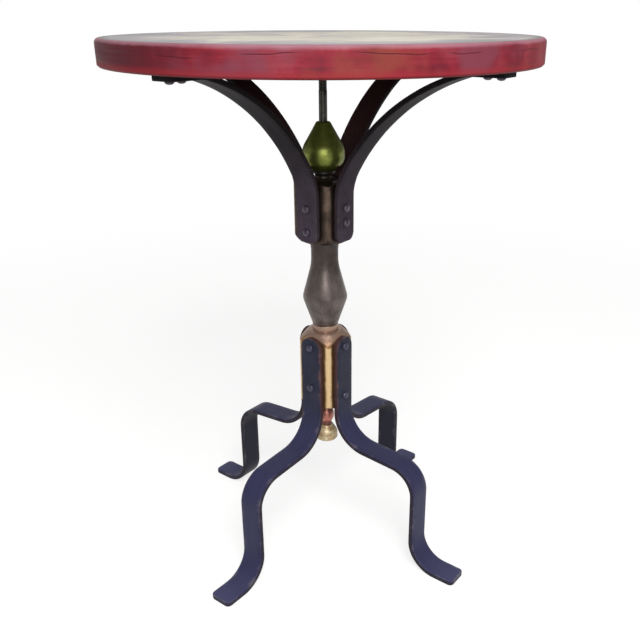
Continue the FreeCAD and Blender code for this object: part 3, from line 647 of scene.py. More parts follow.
@dataclass(frozen=True)
class DarkSteel:
    """Rolled or forged steel left dark by mill scale and oil, with small rubbed bright spots."""

    name: str
    scale_hex: str
    bright_hex: str
    roughness: float
    metallic: float
    spot_mm: float = 4.0
    relief_mm: float = 0.2

    def material(self) -> bpy.types.Material:
        """Material on object coordinates with scale, rub marks and a fine pitted relief."""
        material, node = start_material(self.name)
        place = node("ShaderNodeTexCoord").outputs["Object"]
        spots = node("ShaderNodeTexNoise", inputs={
            "Vector": place, "Scale": 1 / (self.spot_mm * MM), "Detail": 4.0, "Roughness": 0.65})
        colour = node("ShaderNodeValToRGB", inputs={"Fac": spots.outputs["Fac"]}, stops=[
            (0.42, linear(self.scale_hex)), (0.78, linear(self.bright_hex))])
        gloss = node("ShaderNodeMapRange", inputs={
            "Value": spots.outputs["Fac"], "From Min": 0.3, "From Max": 0.7,
            "To Min": self.roughness + 0.1, "To Max": self.roughness - 0.08})
        relief = node("ShaderNodeBump", inputs={
            "Height": spots.outputs["Fac"], "Strength": 0.12, "Distance": self.relief_mm * MM})
        shader = node("ShaderNodeBsdfPrincipled", inputs={
            "Base Color": colour.outputs["Color"], "Roughness": gloss.outputs["Result"],
            "Normal": relief.outputs["Normal"], "Metallic": self.metallic})
        node("ShaderNodeOutputMaterial", inputs={"Surface": shader.outputs["BSDF"]})
        return material


# Hot-rolled flat bar brushed with slate-navy enamel: cloudy satin, brown where the arris is rubbed through, a
# painted highlight along the arrises, and painted light on the runs and feet.
LEG_IRON = PaintedIron(
    name="slate_navy_painted_iron", coat_hex="#2C2E3F", tint_hex="#36364A", pool_hex="#22242F",
    far_light_and_shade_hex="#3B3B5C", wear_and_highlight_hex="#7A5C58", scuff_and_highlight_hex="#6A6872", toe_wear_and_light_hex="#56567A", flank_hex="#553833",
    low_flank_hex="#1A1A22", inner_hex="#232327", roughness=0.44, wear_share=0.34, toe_share=0.20,
    specular=0.15, fade_mm=(70.0, 150.0), inner_share=0.78)
# The same flat bar under charcoal-violet enamel: nearly matt, with little wear; painted shade darkens it towards
# the top under the table top, a painted highlight runs on its arrises and a painted reddish reflection lies on
# its inner faces.
ARM_IRON = PaintedIron(
    name="charcoal_painted_iron", coat_hex="#544B56", tint_hex="#5E5463", pool_hex="#423942",
    far_light_and_shade_hex="#171415", wear_and_highlight_hex="#6A6066", scuff_and_highlight_hex="#463E40", toe_wear_and_light_hex="#201819", flank_hex="#3A3236",
    low_flank_hex="#141214", inner_hex="#503537", roughness=0.55, wear_share=0.28, toe_share=0.0,
    specular=0.06, fade_mm=(40.0, 150.0), inner_share=0.80)
# Squared beech under bronze-powder gilt: warm streaks, a painted highlight on the corners, a rosy brown dome.
GILT = TurnedFinish("gilt_paint_on_beech", "#4A3220", "#745432", "#9C7848", "#E2C392", 0.60, 0.36, 0.62,
                    upright=True, mottle_mm=26.0, relief=0.15, crown_mm=(291.0, 301.0))
# Turned beech under bronze-brown metallic paint: a broad soft sheen with dim clouds, and painted shade at the
# neck.
BRONZE = TurnedFinish("bronze_brown_paint_on_beech", "#4C4441", "#665C58", "#7E726D", "#887C74", 0.85, 0.38,
                      0.10, mottle_mm=30.0, upright=True, marks_share=0.2, relief=0.12,
                      crown_tint_and_shade_hex="#2C2624", crown_mm=(372.0, 408.0))
# Squared beech under umber bronze paint: dark satin with a painted highlight on its corners.
BROWN = TurnedFinish("umber_paint_on_beech", "#2A201A", "#3A2E26", "#4A3B32", "#735F52", 0.70, 0.35, 0.30,
                     mottle_mm=22.0, upright=True, relief=0.18)
# Turned beech under blackened bronze paint: near black, with a thin sheen on its rings.
COLLAR = TurnedFinish("blackened_bronze_paint", "#1B1713", "#2A231C", "#3A3026", "#4C4032", 0.40, 0.40, 0.20)
# Turned beech under olive metallic enamel: a soft bright spot on the belly that falls off to deep green.
ACORN = TurnedFinish("olive_green_metallic_paint", "#5C6428", "#747C36", "#969E50", "#A4AC64", 0.75, 0.38, 0.10,
                     mottle_mm=20.0, relief=0.12, marks_share=0.12)
# Turned beech under coral enamel, with painted shade in the hollows above and below the belly.
CORAL = TurnedFinish("coral_paint_on_beech", "#9A5044", "#D08676", "#E4A898", "#E8B8AC", 0.45, 0.38, 0.10,
                     mottle_mm=6.0, crown_tint_and_shade_hex="#3A1812", crown_mm=(180.0, 186.0), foot_shade_hex="#42201A",
                     foot_mm=(164.0, 169.0))
# Turned beech daubed with cream over gilt: small soft mottles and a low sheen.
CREAM = TurnedFinish("mottled_cream_gilt", "#84664A", "#C4AC84", "#E4D4B0", "#ECE0C2", 0.25, 0.40, 0.20,
                     mottle_mm=8.0, spread=(0.35, 0.50, 0.65))
# Rolled steel rod darkened by oil: a narrow grey sheen along its length.
ROD_STEEL = DarkSteel("oiled_threaded_steel", "#35332F", "#565249", 0.36, 0.7, 9.0)
# Forged bolt heads brushed over with each strap's own paint: soft points of light on the crowns.
LEG_BOLT_IRON = DarkSteel("slate_painted_bolt_iron", "#34344A", "#5A5868", 0.38, 0.35, 7.0)
ARM_BOLT_IRON = DarkSteel("charcoal_painted_bolt_iron", "#3A3342", "#6C5E6A", 0.38, 0.35, 7.0)


@dataclass
class BoardTop:
    """Round top of edge-glued boards, cut from one disc so that paint, waves and cracks run on across joints.

    Each crack has its first and last azimuth in degrees, its depth below the face and its wobble.
    """

    diameter: float = 500.0
    underside: float = 637.395
    thickness: float = 28.6
    rounding: float = 5.0
    chamfer: float = 2.0
    boards: int = 7
    segments: int = 720
    middle_radius: float = 12.0
    edge_margin: float = 1.5
    rim_band: float = 8.0
    wave: float = 0.5
    wave_turns: float = 4.0
    wave_height: float = 14.0
    sharp_deg: float = 50.0
    crack_depth: float = 0.45
    crack_width: float = 0.40
    finish: TopPaint = TopPaint()
    cracks: tuple[tuple[float, float, float, float], ...] = (
        (-90.0, -72.0, 7.6, 0.9), (-70.0, -60.0, 8.4, 0.7), (-113.0, -100.0, 7.2, 0.8),
        (-134.0, -122.0, 11.5, 0.6), (-48.0, -34.0, 9.0, 0.8), (-14.0, 6.0, 9.0, 0.9), (38.0, 56.0, 11.0, 0.8),
        (82.0, 101.0, 8.0, 0.9), (138.0, 155.0, 10.5, 0.8), (169.0, 188.0, 8.5, 0.8),
    )

    def rows(self) -> np.ndarray:
        """Open outline from the underside's middle round the rim to the face's middle.

        Returns:
            Rows of radius and height in millimetres.
        """
        radius, low, high = self.diameter / 2, self.underside, self.underside + self.thickness
        flat = [(r, low) for r in np.linspace(self.middle_radius, radius - self.chamfer - self.edge_margin, 18)]
        bevel = [(radius - self.chamfer + d, low + d) for d in np.linspace(0, self.chamfer, 4)]
        drop = high - 2.6 * self.rounding
        wall = [(radius, z) for z in np.linspace(low + self.chamfer, drop, 16)[1:]]
        wall += [(radius, z) for z in np.linspace(drop, high - self.rounding, 32)[1:]]
        arc = [(radius - self.rounding * (1 - math.cos(a)), high - self.rounding * (1 - math.sin(a)))
               for a in np.linspace(0, math.pi / 2, 11)[1:]]
        brink = radius - self.rounding - self.edge_margin
        face = [(r, high) for r in np.linspace(brink, self.middle_radius, 24)]
        return np.array(flat + bevel + wall + arc + face)

    def crack(self, angle_deg: np.ndarray, depth: np.ndarray) -> np.ndarray:
        """How far each point of the rim lies inside a drying crack.

        Args:
            angle_deg: Azimuths in degrees.
            depth: Depths below the face in millimetres.

        Returns:
            Numbers from 0 to 1.
        """
        inside = np.zeros_like(depth)
        for start, end, level, wobble in self.cracks:
            along = ((angle_deg - start + 180) % 360 - 180) / (end - start)
            line = level + wobble * np.sin(along * 5.0 + start) + 0.35 * wobble * np.sin(along * 14.0 + end)
            ends = np.clip(np.minimum(along, 1 - along) / 0.2, 0, 1)
            inside = np.maximum(inside, ends * np.exp(-((depth - line) / self.crack_width) ** 2))
        return inside

    def disc(self) -> bpy.types.Mesh:
        """Closed mesh of the whole top with its attributes, before it is cut into boards.

        Returns:
            The mesh, which is a pattern for the boards.
        """
        rows = self.rows()
        high = self.underside + self.thickness
        angles = np.arange(self.segments) * (2 * math.pi / self.segments)
        radius = np.repeat(rows[:, :1], self.segments, axis=1)
        height = np.repeat(rows[:, 1:], self.segments, axis=1)
        rim = np.clip((radius - self.diameter / 2 + self.rim_band) / self.rim_band, 0, 1)
        crack = self.crack(np.degrees(angles)[None, :], high - height) * (radius > self.diameter / 2 - 1)
        ring = [(self.wave_turns * math.cos(a), self.wave_turns * math.sin(a)) for a in angles]
        swell = np.array([[noise.noise(Vector((*spot, z / self.wave_height))) for spot in ring]
                          for z in rows[:, 1]])
        moved = radius - rim * (self.wave * (0.6 + 0.6 * np.abs(swell))) - self.crack_depth * crack
        points = np.stack((moved * np.cos(angles), moved * np.sin(angles), height), axis=-1).reshape(-1, 3)
        middles = np.array(((0, 0, self.underside), (0, 0, high)))
        count = len(rows) * self.segments
        index = np.arange(count).reshape(len(rows), self.segments)
        right = np.roll(index, -1, axis=1)
        quads = np.stack((index[:-1], right[:-1], right[1:], index[1:]), axis=-1).reshape(-1, 4).tolist()
        fans = [(count, int(b), int(a)) for a, b in zip(index[0], right[0])]
        fans += [(count + 1, int(a), int(b)) for a, b in zip(index[-1], right[-1])]
        mesh = bpy.data.meshes.new("top_pattern")
        mesh.from_pydata((np.vstack((points, middles)) * MM).tolist(), [], quads + fans)
        inner = self.diameter / 2 - self.rounding
        face = (height > high - 0.2) * np.clip((inner - radius) / self.edge_margin, 0, 1)
        arris = np.clip((height - high + self.rounding + 1) / self.rounding, 0, 1)
        store_floats(mesh, "face", np.append(face, (0, 1)))
        store_floats(mesh, "under", np.append(height < self.underside + 0.1, (1, 0)))
        store_floats(mesh, "arris", np.append(arris, (0, 1)))
        store_floats(mesh, "crack", np.append(crack, (0, 0)))
        return mesh

    def build(self) -> None:
        """Cuts the disc into boards and hands each one over as a piece."""
        pattern = self.disc()
        material = self.finish.material()
        width = self.diameter / self.boards
        for number in range(self.boards):
            work = bmesh.new()
            work.from_mesh(pattern)
            near = (width * number - self.diameter / 2) * MM
            sides = ((near, -1, number > 0), (near + width * MM, 1, number < self.boards - 1))
            for place, facing, wanted in sides:
                if wanted:
                    cut = bmesh.ops.bisect_plane(
                        work, geom=work.verts[:] + work.edges[:] + work.faces[:], plane_co=(0, place, 0),
                        plane_no=(0, facing, 0), clear_outer=True)
                    rims = [item for item in cut["geom_cut"] if isinstance(item, bmesh.types.BMEdge)]
                    bmesh.ops.edgeloop_fill(work, edges=rims)
            bmesh.ops.recalc_face_normals(work, faces=work.faces[:])
            mesh = bpy.data.meshes.new(f"painted_board_{number + 1}")
            work.to_mesh(mesh)
            work.free()
            mesh.polygons.foreach_set("use_smooth", [True] * len(mesh.polygons))
            mesh.set_sharp_from_angle(angle=math.radians(self.sharp_deg))
            finished(mesh.name, mesh, material, [f"top_board_{number + 1}"])
        bpy.data.meshes.remove(pattern)


def strap_tree() -> bpy.types.NodeTree:
    """Geometry Nodes tree that rolls a strap along a bent path and rounds the corners of its ends.

    Returns:
        The tree, with the strap's sizes as named inputs in metres.
    """
    tree = bpy.data.node_groups.new("bent_strap", "GeometryNodeTree")
    tree.interface.new_socket("Path", in_out="INPUT", socket_type="NodeSocketGeometry")
    for name in ("Width", "Thickness", "Arris", "Length", "Start Rounding", "End Rounding", "Dent Depth",
                 "Dent Size", "Seed", "Azimuth"):
        tree.interface.new_socket(name, in_out="INPUT", socket_type="NodeSocketFloat")
    tree.interface.new_socket("Material", in_out="INPUT", socket_type="NodeSocketMaterial")
    tree.interface.new_socket("Strap", in_out="OUTPUT", socket_type="NodeSocketGeometry")
    node = partial(add_node, tree)
    given = node("NodeGroupInput").outputs
    path = node("GeometryNodeMeshToCurve", inputs={"Mesh": given["Path"]})
    section = node("GeometryNodeCurvePrimitiveQuadrilateral", inputs={
        "Width": given["Thickness"], "Height": given["Width"]})
    eased = node("GeometryNodeFilletCurve", {"mode": "POLY"}, {
        "Curve": section.outputs["Curve"], "Count": 3, "Radius": given["Arris"], "Limit Radius": True})
    dense = node("GeometryNodeSubdivideCurve", inputs={"Curve": eased.outputs["Curve"], "Cuts": 3})
    place = node("GeometryNodeInputPosition").outputs[0]
    split = node("ShaderNodeSeparateXYZ", inputs={0: place}).outputs
    skin = node("ShaderNodeMath", {"operation": "DIVIDE"}, {0: split["X"], 1: given["Thickness"]})
    skinned = node("GeometryNodeStoreNamedAttribute", {"data_type": "FLOAT", "domain": "POINT"}, {
        "Geometry": dense.outputs["Curve"], "Name": "skin", "Value": skin.outputs[0]})
    swept = node("GeometryNodeCurveToMesh", inputs={
        "Curve": path.outputs["Curve"], "Profile Curve": skinned.outputs["Geometry"], "Fill Caps": True})
    run = node("GeometryNodeInputNamedAttribute", {"data_type": "FLOAT"}, {"Name": "run"}).outputs["Attribute"]
    left = node("ShaderNodeMath", {"operation": "SUBTRACT"}, {0: given["Length"], 1: run}).outputs[0]
    half = node("ShaderNodeMath", {"operation": "MULTIPLY"}, {0: given["Width"], 1: 0.5}).outputs[0]
    width = half
    for distance, rounding in ((run, given["Start Rounding"]), (left, given["End Rounding"])):
        short = node("ShaderNodeMath", {"operation": "SUBTRACT"}, {0: rounding, 1: distance})
        short = node("ShaderNodeMath", {"operation": "MAXIMUM"}, {0: short.outputs[0], 1: 0.0})
        square = node("ShaderNodeMath", {"operation": "MULTIPLY"}, {0: short.outputs[0], 1: short.outputs[0]})
        whole = node("ShaderNodeMath", {"operation": "MULTIPLY"}, {0: rounding, 1: rounding})
        rest = node("ShaderNodeMath", {"operation": "SUBTRACT"}, {0: whole.outputs[0], 1: square.outputs[0]})
        rest = node("ShaderNodeMath", {"operation": "MAXIMUM"}, {0: rest.outputs[0], 1: 0.0})
        chord = node("ShaderNodeMath", {"operation": "SQRT"}, {0: rest.outputs[0]})
        inset = node("ShaderNodeMath", {"operation": "SUBTRACT"}, {0: rounding, 1: chord.outputs[0]})
        width = node("ShaderNodeMath", {"operation": "SUBTRACT"}, {0: width, 1: inset.outputs[0]}).outputs[0]
    share = node("ShaderNodeMath", {"operation": "DIVIDE"}, {0: width, 1: half}).outputs[0]
    across = node("ShaderNodeMath", {"operation": "ABSOLUTE"}, {0: split["Y"]})
    across = node("ShaderNodeMath", {"operation": "DIVIDE"}, {0: across.outputs[0], 1: half})
    nearest = node("ShaderNodeMath", {"operation": "MINIMUM"}, {0: run, 1: left})
    bands = ((across.outputs[0], ARRIS_BAND, 1.0), (across.outputs[0], FLANK_BAND, 1.0),
             (nearest.outputs[0], TIP_BAND_MM, MM), (left, TOE_BAND_MM, MM))
    side, flank, tip, toe = (
        node("ShaderNodeMapRange", inputs={
            "Value": value, "From Min": band[0] * unit, "From Max": band[1] * unit}).outputs[0]
        for value, band, unit in bands)
    edge = node("ShaderNodeMath", {"operation": "MAXIMUM"}, {0: side, 1: tip}).outputs[0]
    lay = node("ShaderNodeCombineXYZ", inputs={0: run, 1: split["Y"]}).outputs[0]
    marked = swept.outputs["Mesh"]
    for name, kind, value in (("edge", "FLOAT", edge), ("flank", "FLOAT", flank), ("toe", "FLOAT", toe),
                              ("lay", "FLOAT_VECTOR", lay)):
        marked = node("GeometryNodeStoreNamedAttribute", {"data_type": kind, "domain": "POINT"}, {
            "Geometry": marked, "Name": name, "Value": value}).outputs["Geometry"]
    narrow = node("ShaderNodeMath", {"operation": "MULTIPLY"}, {0: split["Y"], 1: share})
    shaped = node("ShaderNodeCombineXYZ", inputs={0: split["X"], 1: narrow.outputs[0], 2: split["Z"]})
    ended = node("GeometryNodeSetPosition", inputs={"Geometry": marked, "Position": shaped.outputs[0]})
    pitch = node("ShaderNodeMath", {"operation": "DIVIDE"}, {0: 1.0, 1: given["Dent Size"]})
    dents = node("ShaderNodeTexNoise", {"noise_dimensions": "4D"}, {
        "Vector": place, "W": given["Seed"], "Scale": pitch.outputs[0], "Detail": 2.0})
    offset = node("ShaderNodeMapRange", inputs={"Value": dents.outputs["Fac"], "To Min": -1.0, "To Max": 1.0})
    offset = node("ShaderNodeMath", {"operation": "MULTIPLY"}, {0: offset.outputs[0], 1: given["Dent Depth"]})
    push = node("ShaderNodeVectorMath", {"operation": "SCALE"}, {
        0: node("GeometryNodeInputNormal").outputs[0], "Scale": offset.outputs[0]})
    dented = node("GeometryNodeSetPosition", inputs={"Geometry": ended.outputs[0], "Offset": push.outputs[0]})
    spin = node("ShaderNodeCombineXYZ", inputs={2: given["Azimuth"]})
    swung = node("GeometryNodeTransform", inputs={"Geometry": dented.outputs[0], "Rotation": spin.outputs[0]})
    smooth = node("GeometryNodeSetShadeSmooth", inputs={0: swung.outputs[0]})
    solid = node("GeometryNodeRealizeInstances", inputs={0: smooth.outputs[0]})
    done = node("GeometryNodeSetMaterial", inputs={"Geometry": solid.outputs[0], "Material": given["Material"]})
    node("NodeGroupOutput", inputs={0: done.outputs[0]})
    return tree


@dataclass
class StrapSet:
    """Four like straps of bent flat bar, one at each corner.

    A strap's middle line starts at a radius and height and follows its moves. Each is a length with no turn, or
    a radius with a turn in degrees.
    """

    prefix: str
    start: tuple[float, float]
    heading_deg: float
    moves: tuple[tuple[float, float], ...]
    start_rounding: float
    end_rounding: float
    finish: PaintedIron
    slot: str
    width: float = 32.0
    thickness: float = 6.0
    arris: float = 1.1
    dent_depth: float = 0.22
    dent_size: float = 26.0
    step: float = 2.6
    sharp_deg: float = 45.0

    def path(self) -> tuple[list[tuple[float, float, float]], list[float]]:
        """Middle line of the strap in the XZ plane, finely spaced at its ends and in its bends.

        Returns:
            Points in metres and the run of each from the start.
        """
        total = sum(size * math.radians(abs(turn)) if turn else size for size, turn in self.moves)
        ends = [self.start_rounding * (1 - math.cos(a)) for a in np.linspace(0, math.pi / 2, 13)]
        toes = [total - self.end_rounding * (1 - math.cos(a)) for a in np.linspace(0, math.pi / 2, 9)]
        middle = np.linspace(self.start_rounding, total - self.end_rounding,
                             round((total - self.start_rounding - self.end_rounding) / self.step))
        stations = sorted(set(ends) | set(toes) | set(middle[1:-1].tolist()))
        points = []
        for station in stations:
            x, z, heading, left = *self.start, math.radians(self.heading_deg), station
            for size, turn in self.moves:
                length = size * math.radians(abs(turn)) if turn else size
                part = min(left, length)
                if turn:
                    swing = math.copysign(part / size, turn)
                    side = math.copysign(size, turn)
                    x += side * (math.sin(heading + swing) - math.sin(heading))
                    z -= side * (math.cos(heading + swing) - math.cos(heading))
                    heading += swing
                else:
                    x += part * math.cos(heading)
                    z += part * math.sin(heading)
                left -= part
                if left <= 0:
                    break
            points.append((x * MM, 0.0, z * MM))
        return points, [station * MM for station in stations]

    def build(self, tree: bpy.types.NodeTree) -> None:
        """Rolls the four straps and hands each one over as a piece.

        Args:
            tree: Tree that rolls a strap.
        """
        material = self.finish.material()
        points, runs = self.path()
        for number, corner in enumerate(Corner):
            line = bpy.data.meshes.new("strap_path")
            line.from_pydata(points, [(place, place + 1) for place in range(len(points) - 1)], [])
            store_floats(line, "run", np.array(runs))
            mesh = baked(bpy.data.objects.new("strap_path", line), tree, {
                "Width": self.width * MM, "Thickness": self.thickness * MM, "Arris": self.arris * MM,
                "Length": runs[-1], "Start Rounding": self.start_rounding * MM,
                "End Rounding": self.end_rounding * MM, "Dent Depth": self.dent_depth * MM,
                "Dent Size": self.dent_size * MM, "Seed": 3.0 * number + len(self.moves),
                "Azimuth": math.radians(corner.value), "Material": material})
            mesh.name = f"bent_{self.prefix}_{corner.label}"
            mesh.set_sharp_from_angle(angle=math.radians(self.sharp_deg))
            finished(mesh.name, mesh, material, [f"{self.prefix}_{corner.label}"])


# A leg goes down the hub, out to its knee, down its shin and out along its foot.
LEGS = StrapSet(
    prefix="leg", start=(29.0, 298.9), heading_deg=-90.0,
    moves=((107.0, 0), (46.0, 86.0), (48.7, 0), (35.0, -86.0), (67.7, 0), (37.0, 90.0), (28.0, 0)),
    start_rounding=15.5, end_rounding=6.0, finish=LEG_IRON, slot="leg_iron")
# An arm goes up the block, swings out in one long curve and lies flat under the top.
ARMS = StrapSet(
    prefix="arm", start=(31.0, 428.6), heading_deg=90.0,
    moves=((51.0, 0), (72.0, -30.0), (253.345, -44.0), (50.0, -16.0), (34.0, 0)),
    start_rounding=9.0, end_rounding=5.0, finish=ARM_IRON, slot="arm_iron")


@dataclass
class TurnedPost:
    """Stack of turned pieces and square blocks that the tie rod draws together."""

    bore: float = 5.3
    hub_side: float = 52.0
    hub_low: float = 197.7
    hub_shoulder: float = 304.4
    # Drop of the dome below the shoulder, radius of its flat and rounding between them.
    hub_dome: tuple[float, float, float] = (14.0, 22.0, 20.0)
    hub_foot_rounding: float = 9.0
    hub_neck: float = 16.8
    hub_top: float = 311.9
    arm_block_side: float = 56.0
    arm_block_low: float = 424.6
    arm_block_high: float = 501.1
    arm_block_roundings: tuple[float, float] = (15.0, 5.0)
    collar_top: float = 513.1
    acorn_top: float = 570.6
    bead_low: float = 160.0
    bun_low: float = 138.4
    acorn_bore: float = 5.05
    pocket_radius: float = 8.7
    pocket_depth: float = 8.0
    corner_rounding: float = 6.0
    block_segments: int = 288
    round_segments: int = 144
    block_step: float = 1.2
    round_step: float = 1.6
    # A profile's rows are a radius, a share of the piece's height from its foot, and a rounding.
    baluster_profile: Outline = (
        (16.5, 0.0, 0), (29.3, 0.33, 16), (17.3, 0.73, 120), (17.3, 0.89, 20), (18.6, 1.0, 0))
    collar_profile: Outline = (
        (15.0, 0.0, 0), (10.5, 0.28, 3.5), (10.5, 0.62, 3.5), (14.6, 0.72, 1.2), (14.6, 1.0, 1.2))
    acorn_profile: Outline = ((13.5, 0.0, 0), (25.8, 0.16, 14), (25.8, 0.46, 24), (8.2, 1.0, 3))
    bead_profile: Outline = (
        (7.0, 0.0, 0), (7.0, 0.12, 1.5), (10.2, 0.28, 10), (10.2, 0.52, 10), (7.0, 0.68, 1.5), (7.0, 1.0, 0))
    bun_profile: Outline = ((15.3, 0.0, 4), (15.3, 0.5, 14), (8.5, 1.0, 0))

    def square_reach(self, side: float) -> Callable[[np.ndarray], np.ndarray]:
        """Polar limit of a rounded square whose flats face the four corners.

        Args:
            side: Side of the square in millimetres.

        Returns:
            Function from azimuths in radians to radii in millimetres.
        """
        half, rounding = side / 2, self.corner_rounding

        def reach(angles: np.ndarray) -> np.ndarray:
            """Radii of the square at azimuths."""
            turn = np.abs((angles % (math.pi / 2)) - math.pi / 4)
            flat = half / np.cos(turn)
            lean = (half - rounding) * (np.cos(turn) + np.sin(turn))
            arc = lean + np.sqrt(np.maximum(lean ** 2 - 2 * (half - rounding) ** 2 + rounding ** 2, 0))
            return np.where(half * np.tan(turn) > half - rounding, arc, flat)

        return reach

    def blank(self, side: float) -> float:
        """Radius of the round blank that a square block of a side is turned from."""
        return side / 2 * math.sqrt(2) - self.corner_rounding * (math.sqrt(2) - 1) + 1

    def build(self) -> None:
        """Turns every piece of the post and hands it over."""
        for name, corners, side, finish, slot, node in self.blocks():
            rows = rounded_outline(corners, self.block_step)
            mesh = lathe_mesh(name, rows, self.block_segments, self.square_reach(side))
            finished(name, mesh, finish.material(), [node])
        for name, corners, finish, slot, node in self.turnings():
            mesh = lathe_mesh(name, rounded_outline(corners, self.round_step), self.round_segments)
            finished(name, mesh, finish.material(), [node])

    def blocks(self) -> list[tuple[str, Outline, float, TurnedFinish, str, str]]:
        """Square blocks of the post.

        Returns:
            Name, corners, side, finish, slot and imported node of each.
        """
        blank, (drop, inner, rounding) = self.blank(self.hub_side), self.hub_dome
        hub = [(self.bore, self.hub_low, 0), (blank, self.hub_low, self.hub_foot_rounding),
               (blank, self.hub_shoulder - drop, rounding), (inner, self.hub_shoulder, rounding),
               (self.hub_neck, self.hub_shoulder, 0), (self.hub_neck, self.hub_top, 1),
               (self.bore, self.hub_top, 0)]
        blank, (low, high) = self.blank(self.arm_block_side), self.arm_block_roundings
        arm = [(self.bore, self.arm_block_low, 0), (blank, self.arm_block_low, low),
               (blank, self.arm_block_high, high), (self.bore, self.arm_block_high, 0)]
        return [("gilt_hub_block", hub, self.hub_side, GILT, "gold_block", "hub_block"),
                ("umber_arm_block", arm, self.arm_block_side, BROWN, "brown_block", "arm_block")]

    def turnings(self) -> list[tuple[str, Outline, TurnedFinish, str, str]]:
        """Round pieces of the post.

        Returns:
            Name, corners, finish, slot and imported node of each.
        """
        baluster = self.bored(self.baluster_profile, self.bore, self.hub_top, self.arm_block_low)
        collar = self.bored(self.collar_profile, self.bore, self.arm_block_high, self.collar_top)
        acorn = self.bored(self.acorn_profile, self.acorn_bore, self.collar_top, self.acorn_top)
        bead = self.bored(self.bead_profile, self.bore, self.bead_low, self.hub_low)
        bun = self.bored(self.bun_profile, self.pocket_radius, self.bun_low, self.bead_low)
        roof = self.bun_low + self.pocket_depth
        bun[-1:] = [(self.bore, self.bead_low, 0), (self.bore, roof, 0), (self.pocket_radius, roof, 0)]
        return [("bronze_baluster", baluster, BRONZE, "bronze_turning", "baluster"),
                ("dark_neck_collar", collar, COLLAR, "dark_collar", "neck_collar"),
                ("green_acorn_finial", acorn, ACORN, "green_acorn", "acorn_finial"),
                ("coral_bottom_bead", bead, CORAL, "coral_bead", "bottom_bead"),
                ("cream_bun_knob", bun, CREAM, "cream_bun", "bun_knob")]

    @staticmethod
    def bored(profile: Outline, bore: float, low: float, high: float) -> list[tuple[float, float, float]]:
        """Corners of a turned piece between two heights, closed along its bore.

        Args:
            profile: Radius, share of the height and rounding of each corner.
            bore: Radius of the bore in millimetres.
            low: Height of the piece's foot in millimetres.
            high: Height of its top in millimetres.

        Returns:
            Radius, height and rounding of each corner in millimetres.
        """
        walls = [(radius, low + (high - low) * share, rounding) for radius, share, rounding in profile]
        return [(bore, low, 0), *walls, (bore, high, 0)]


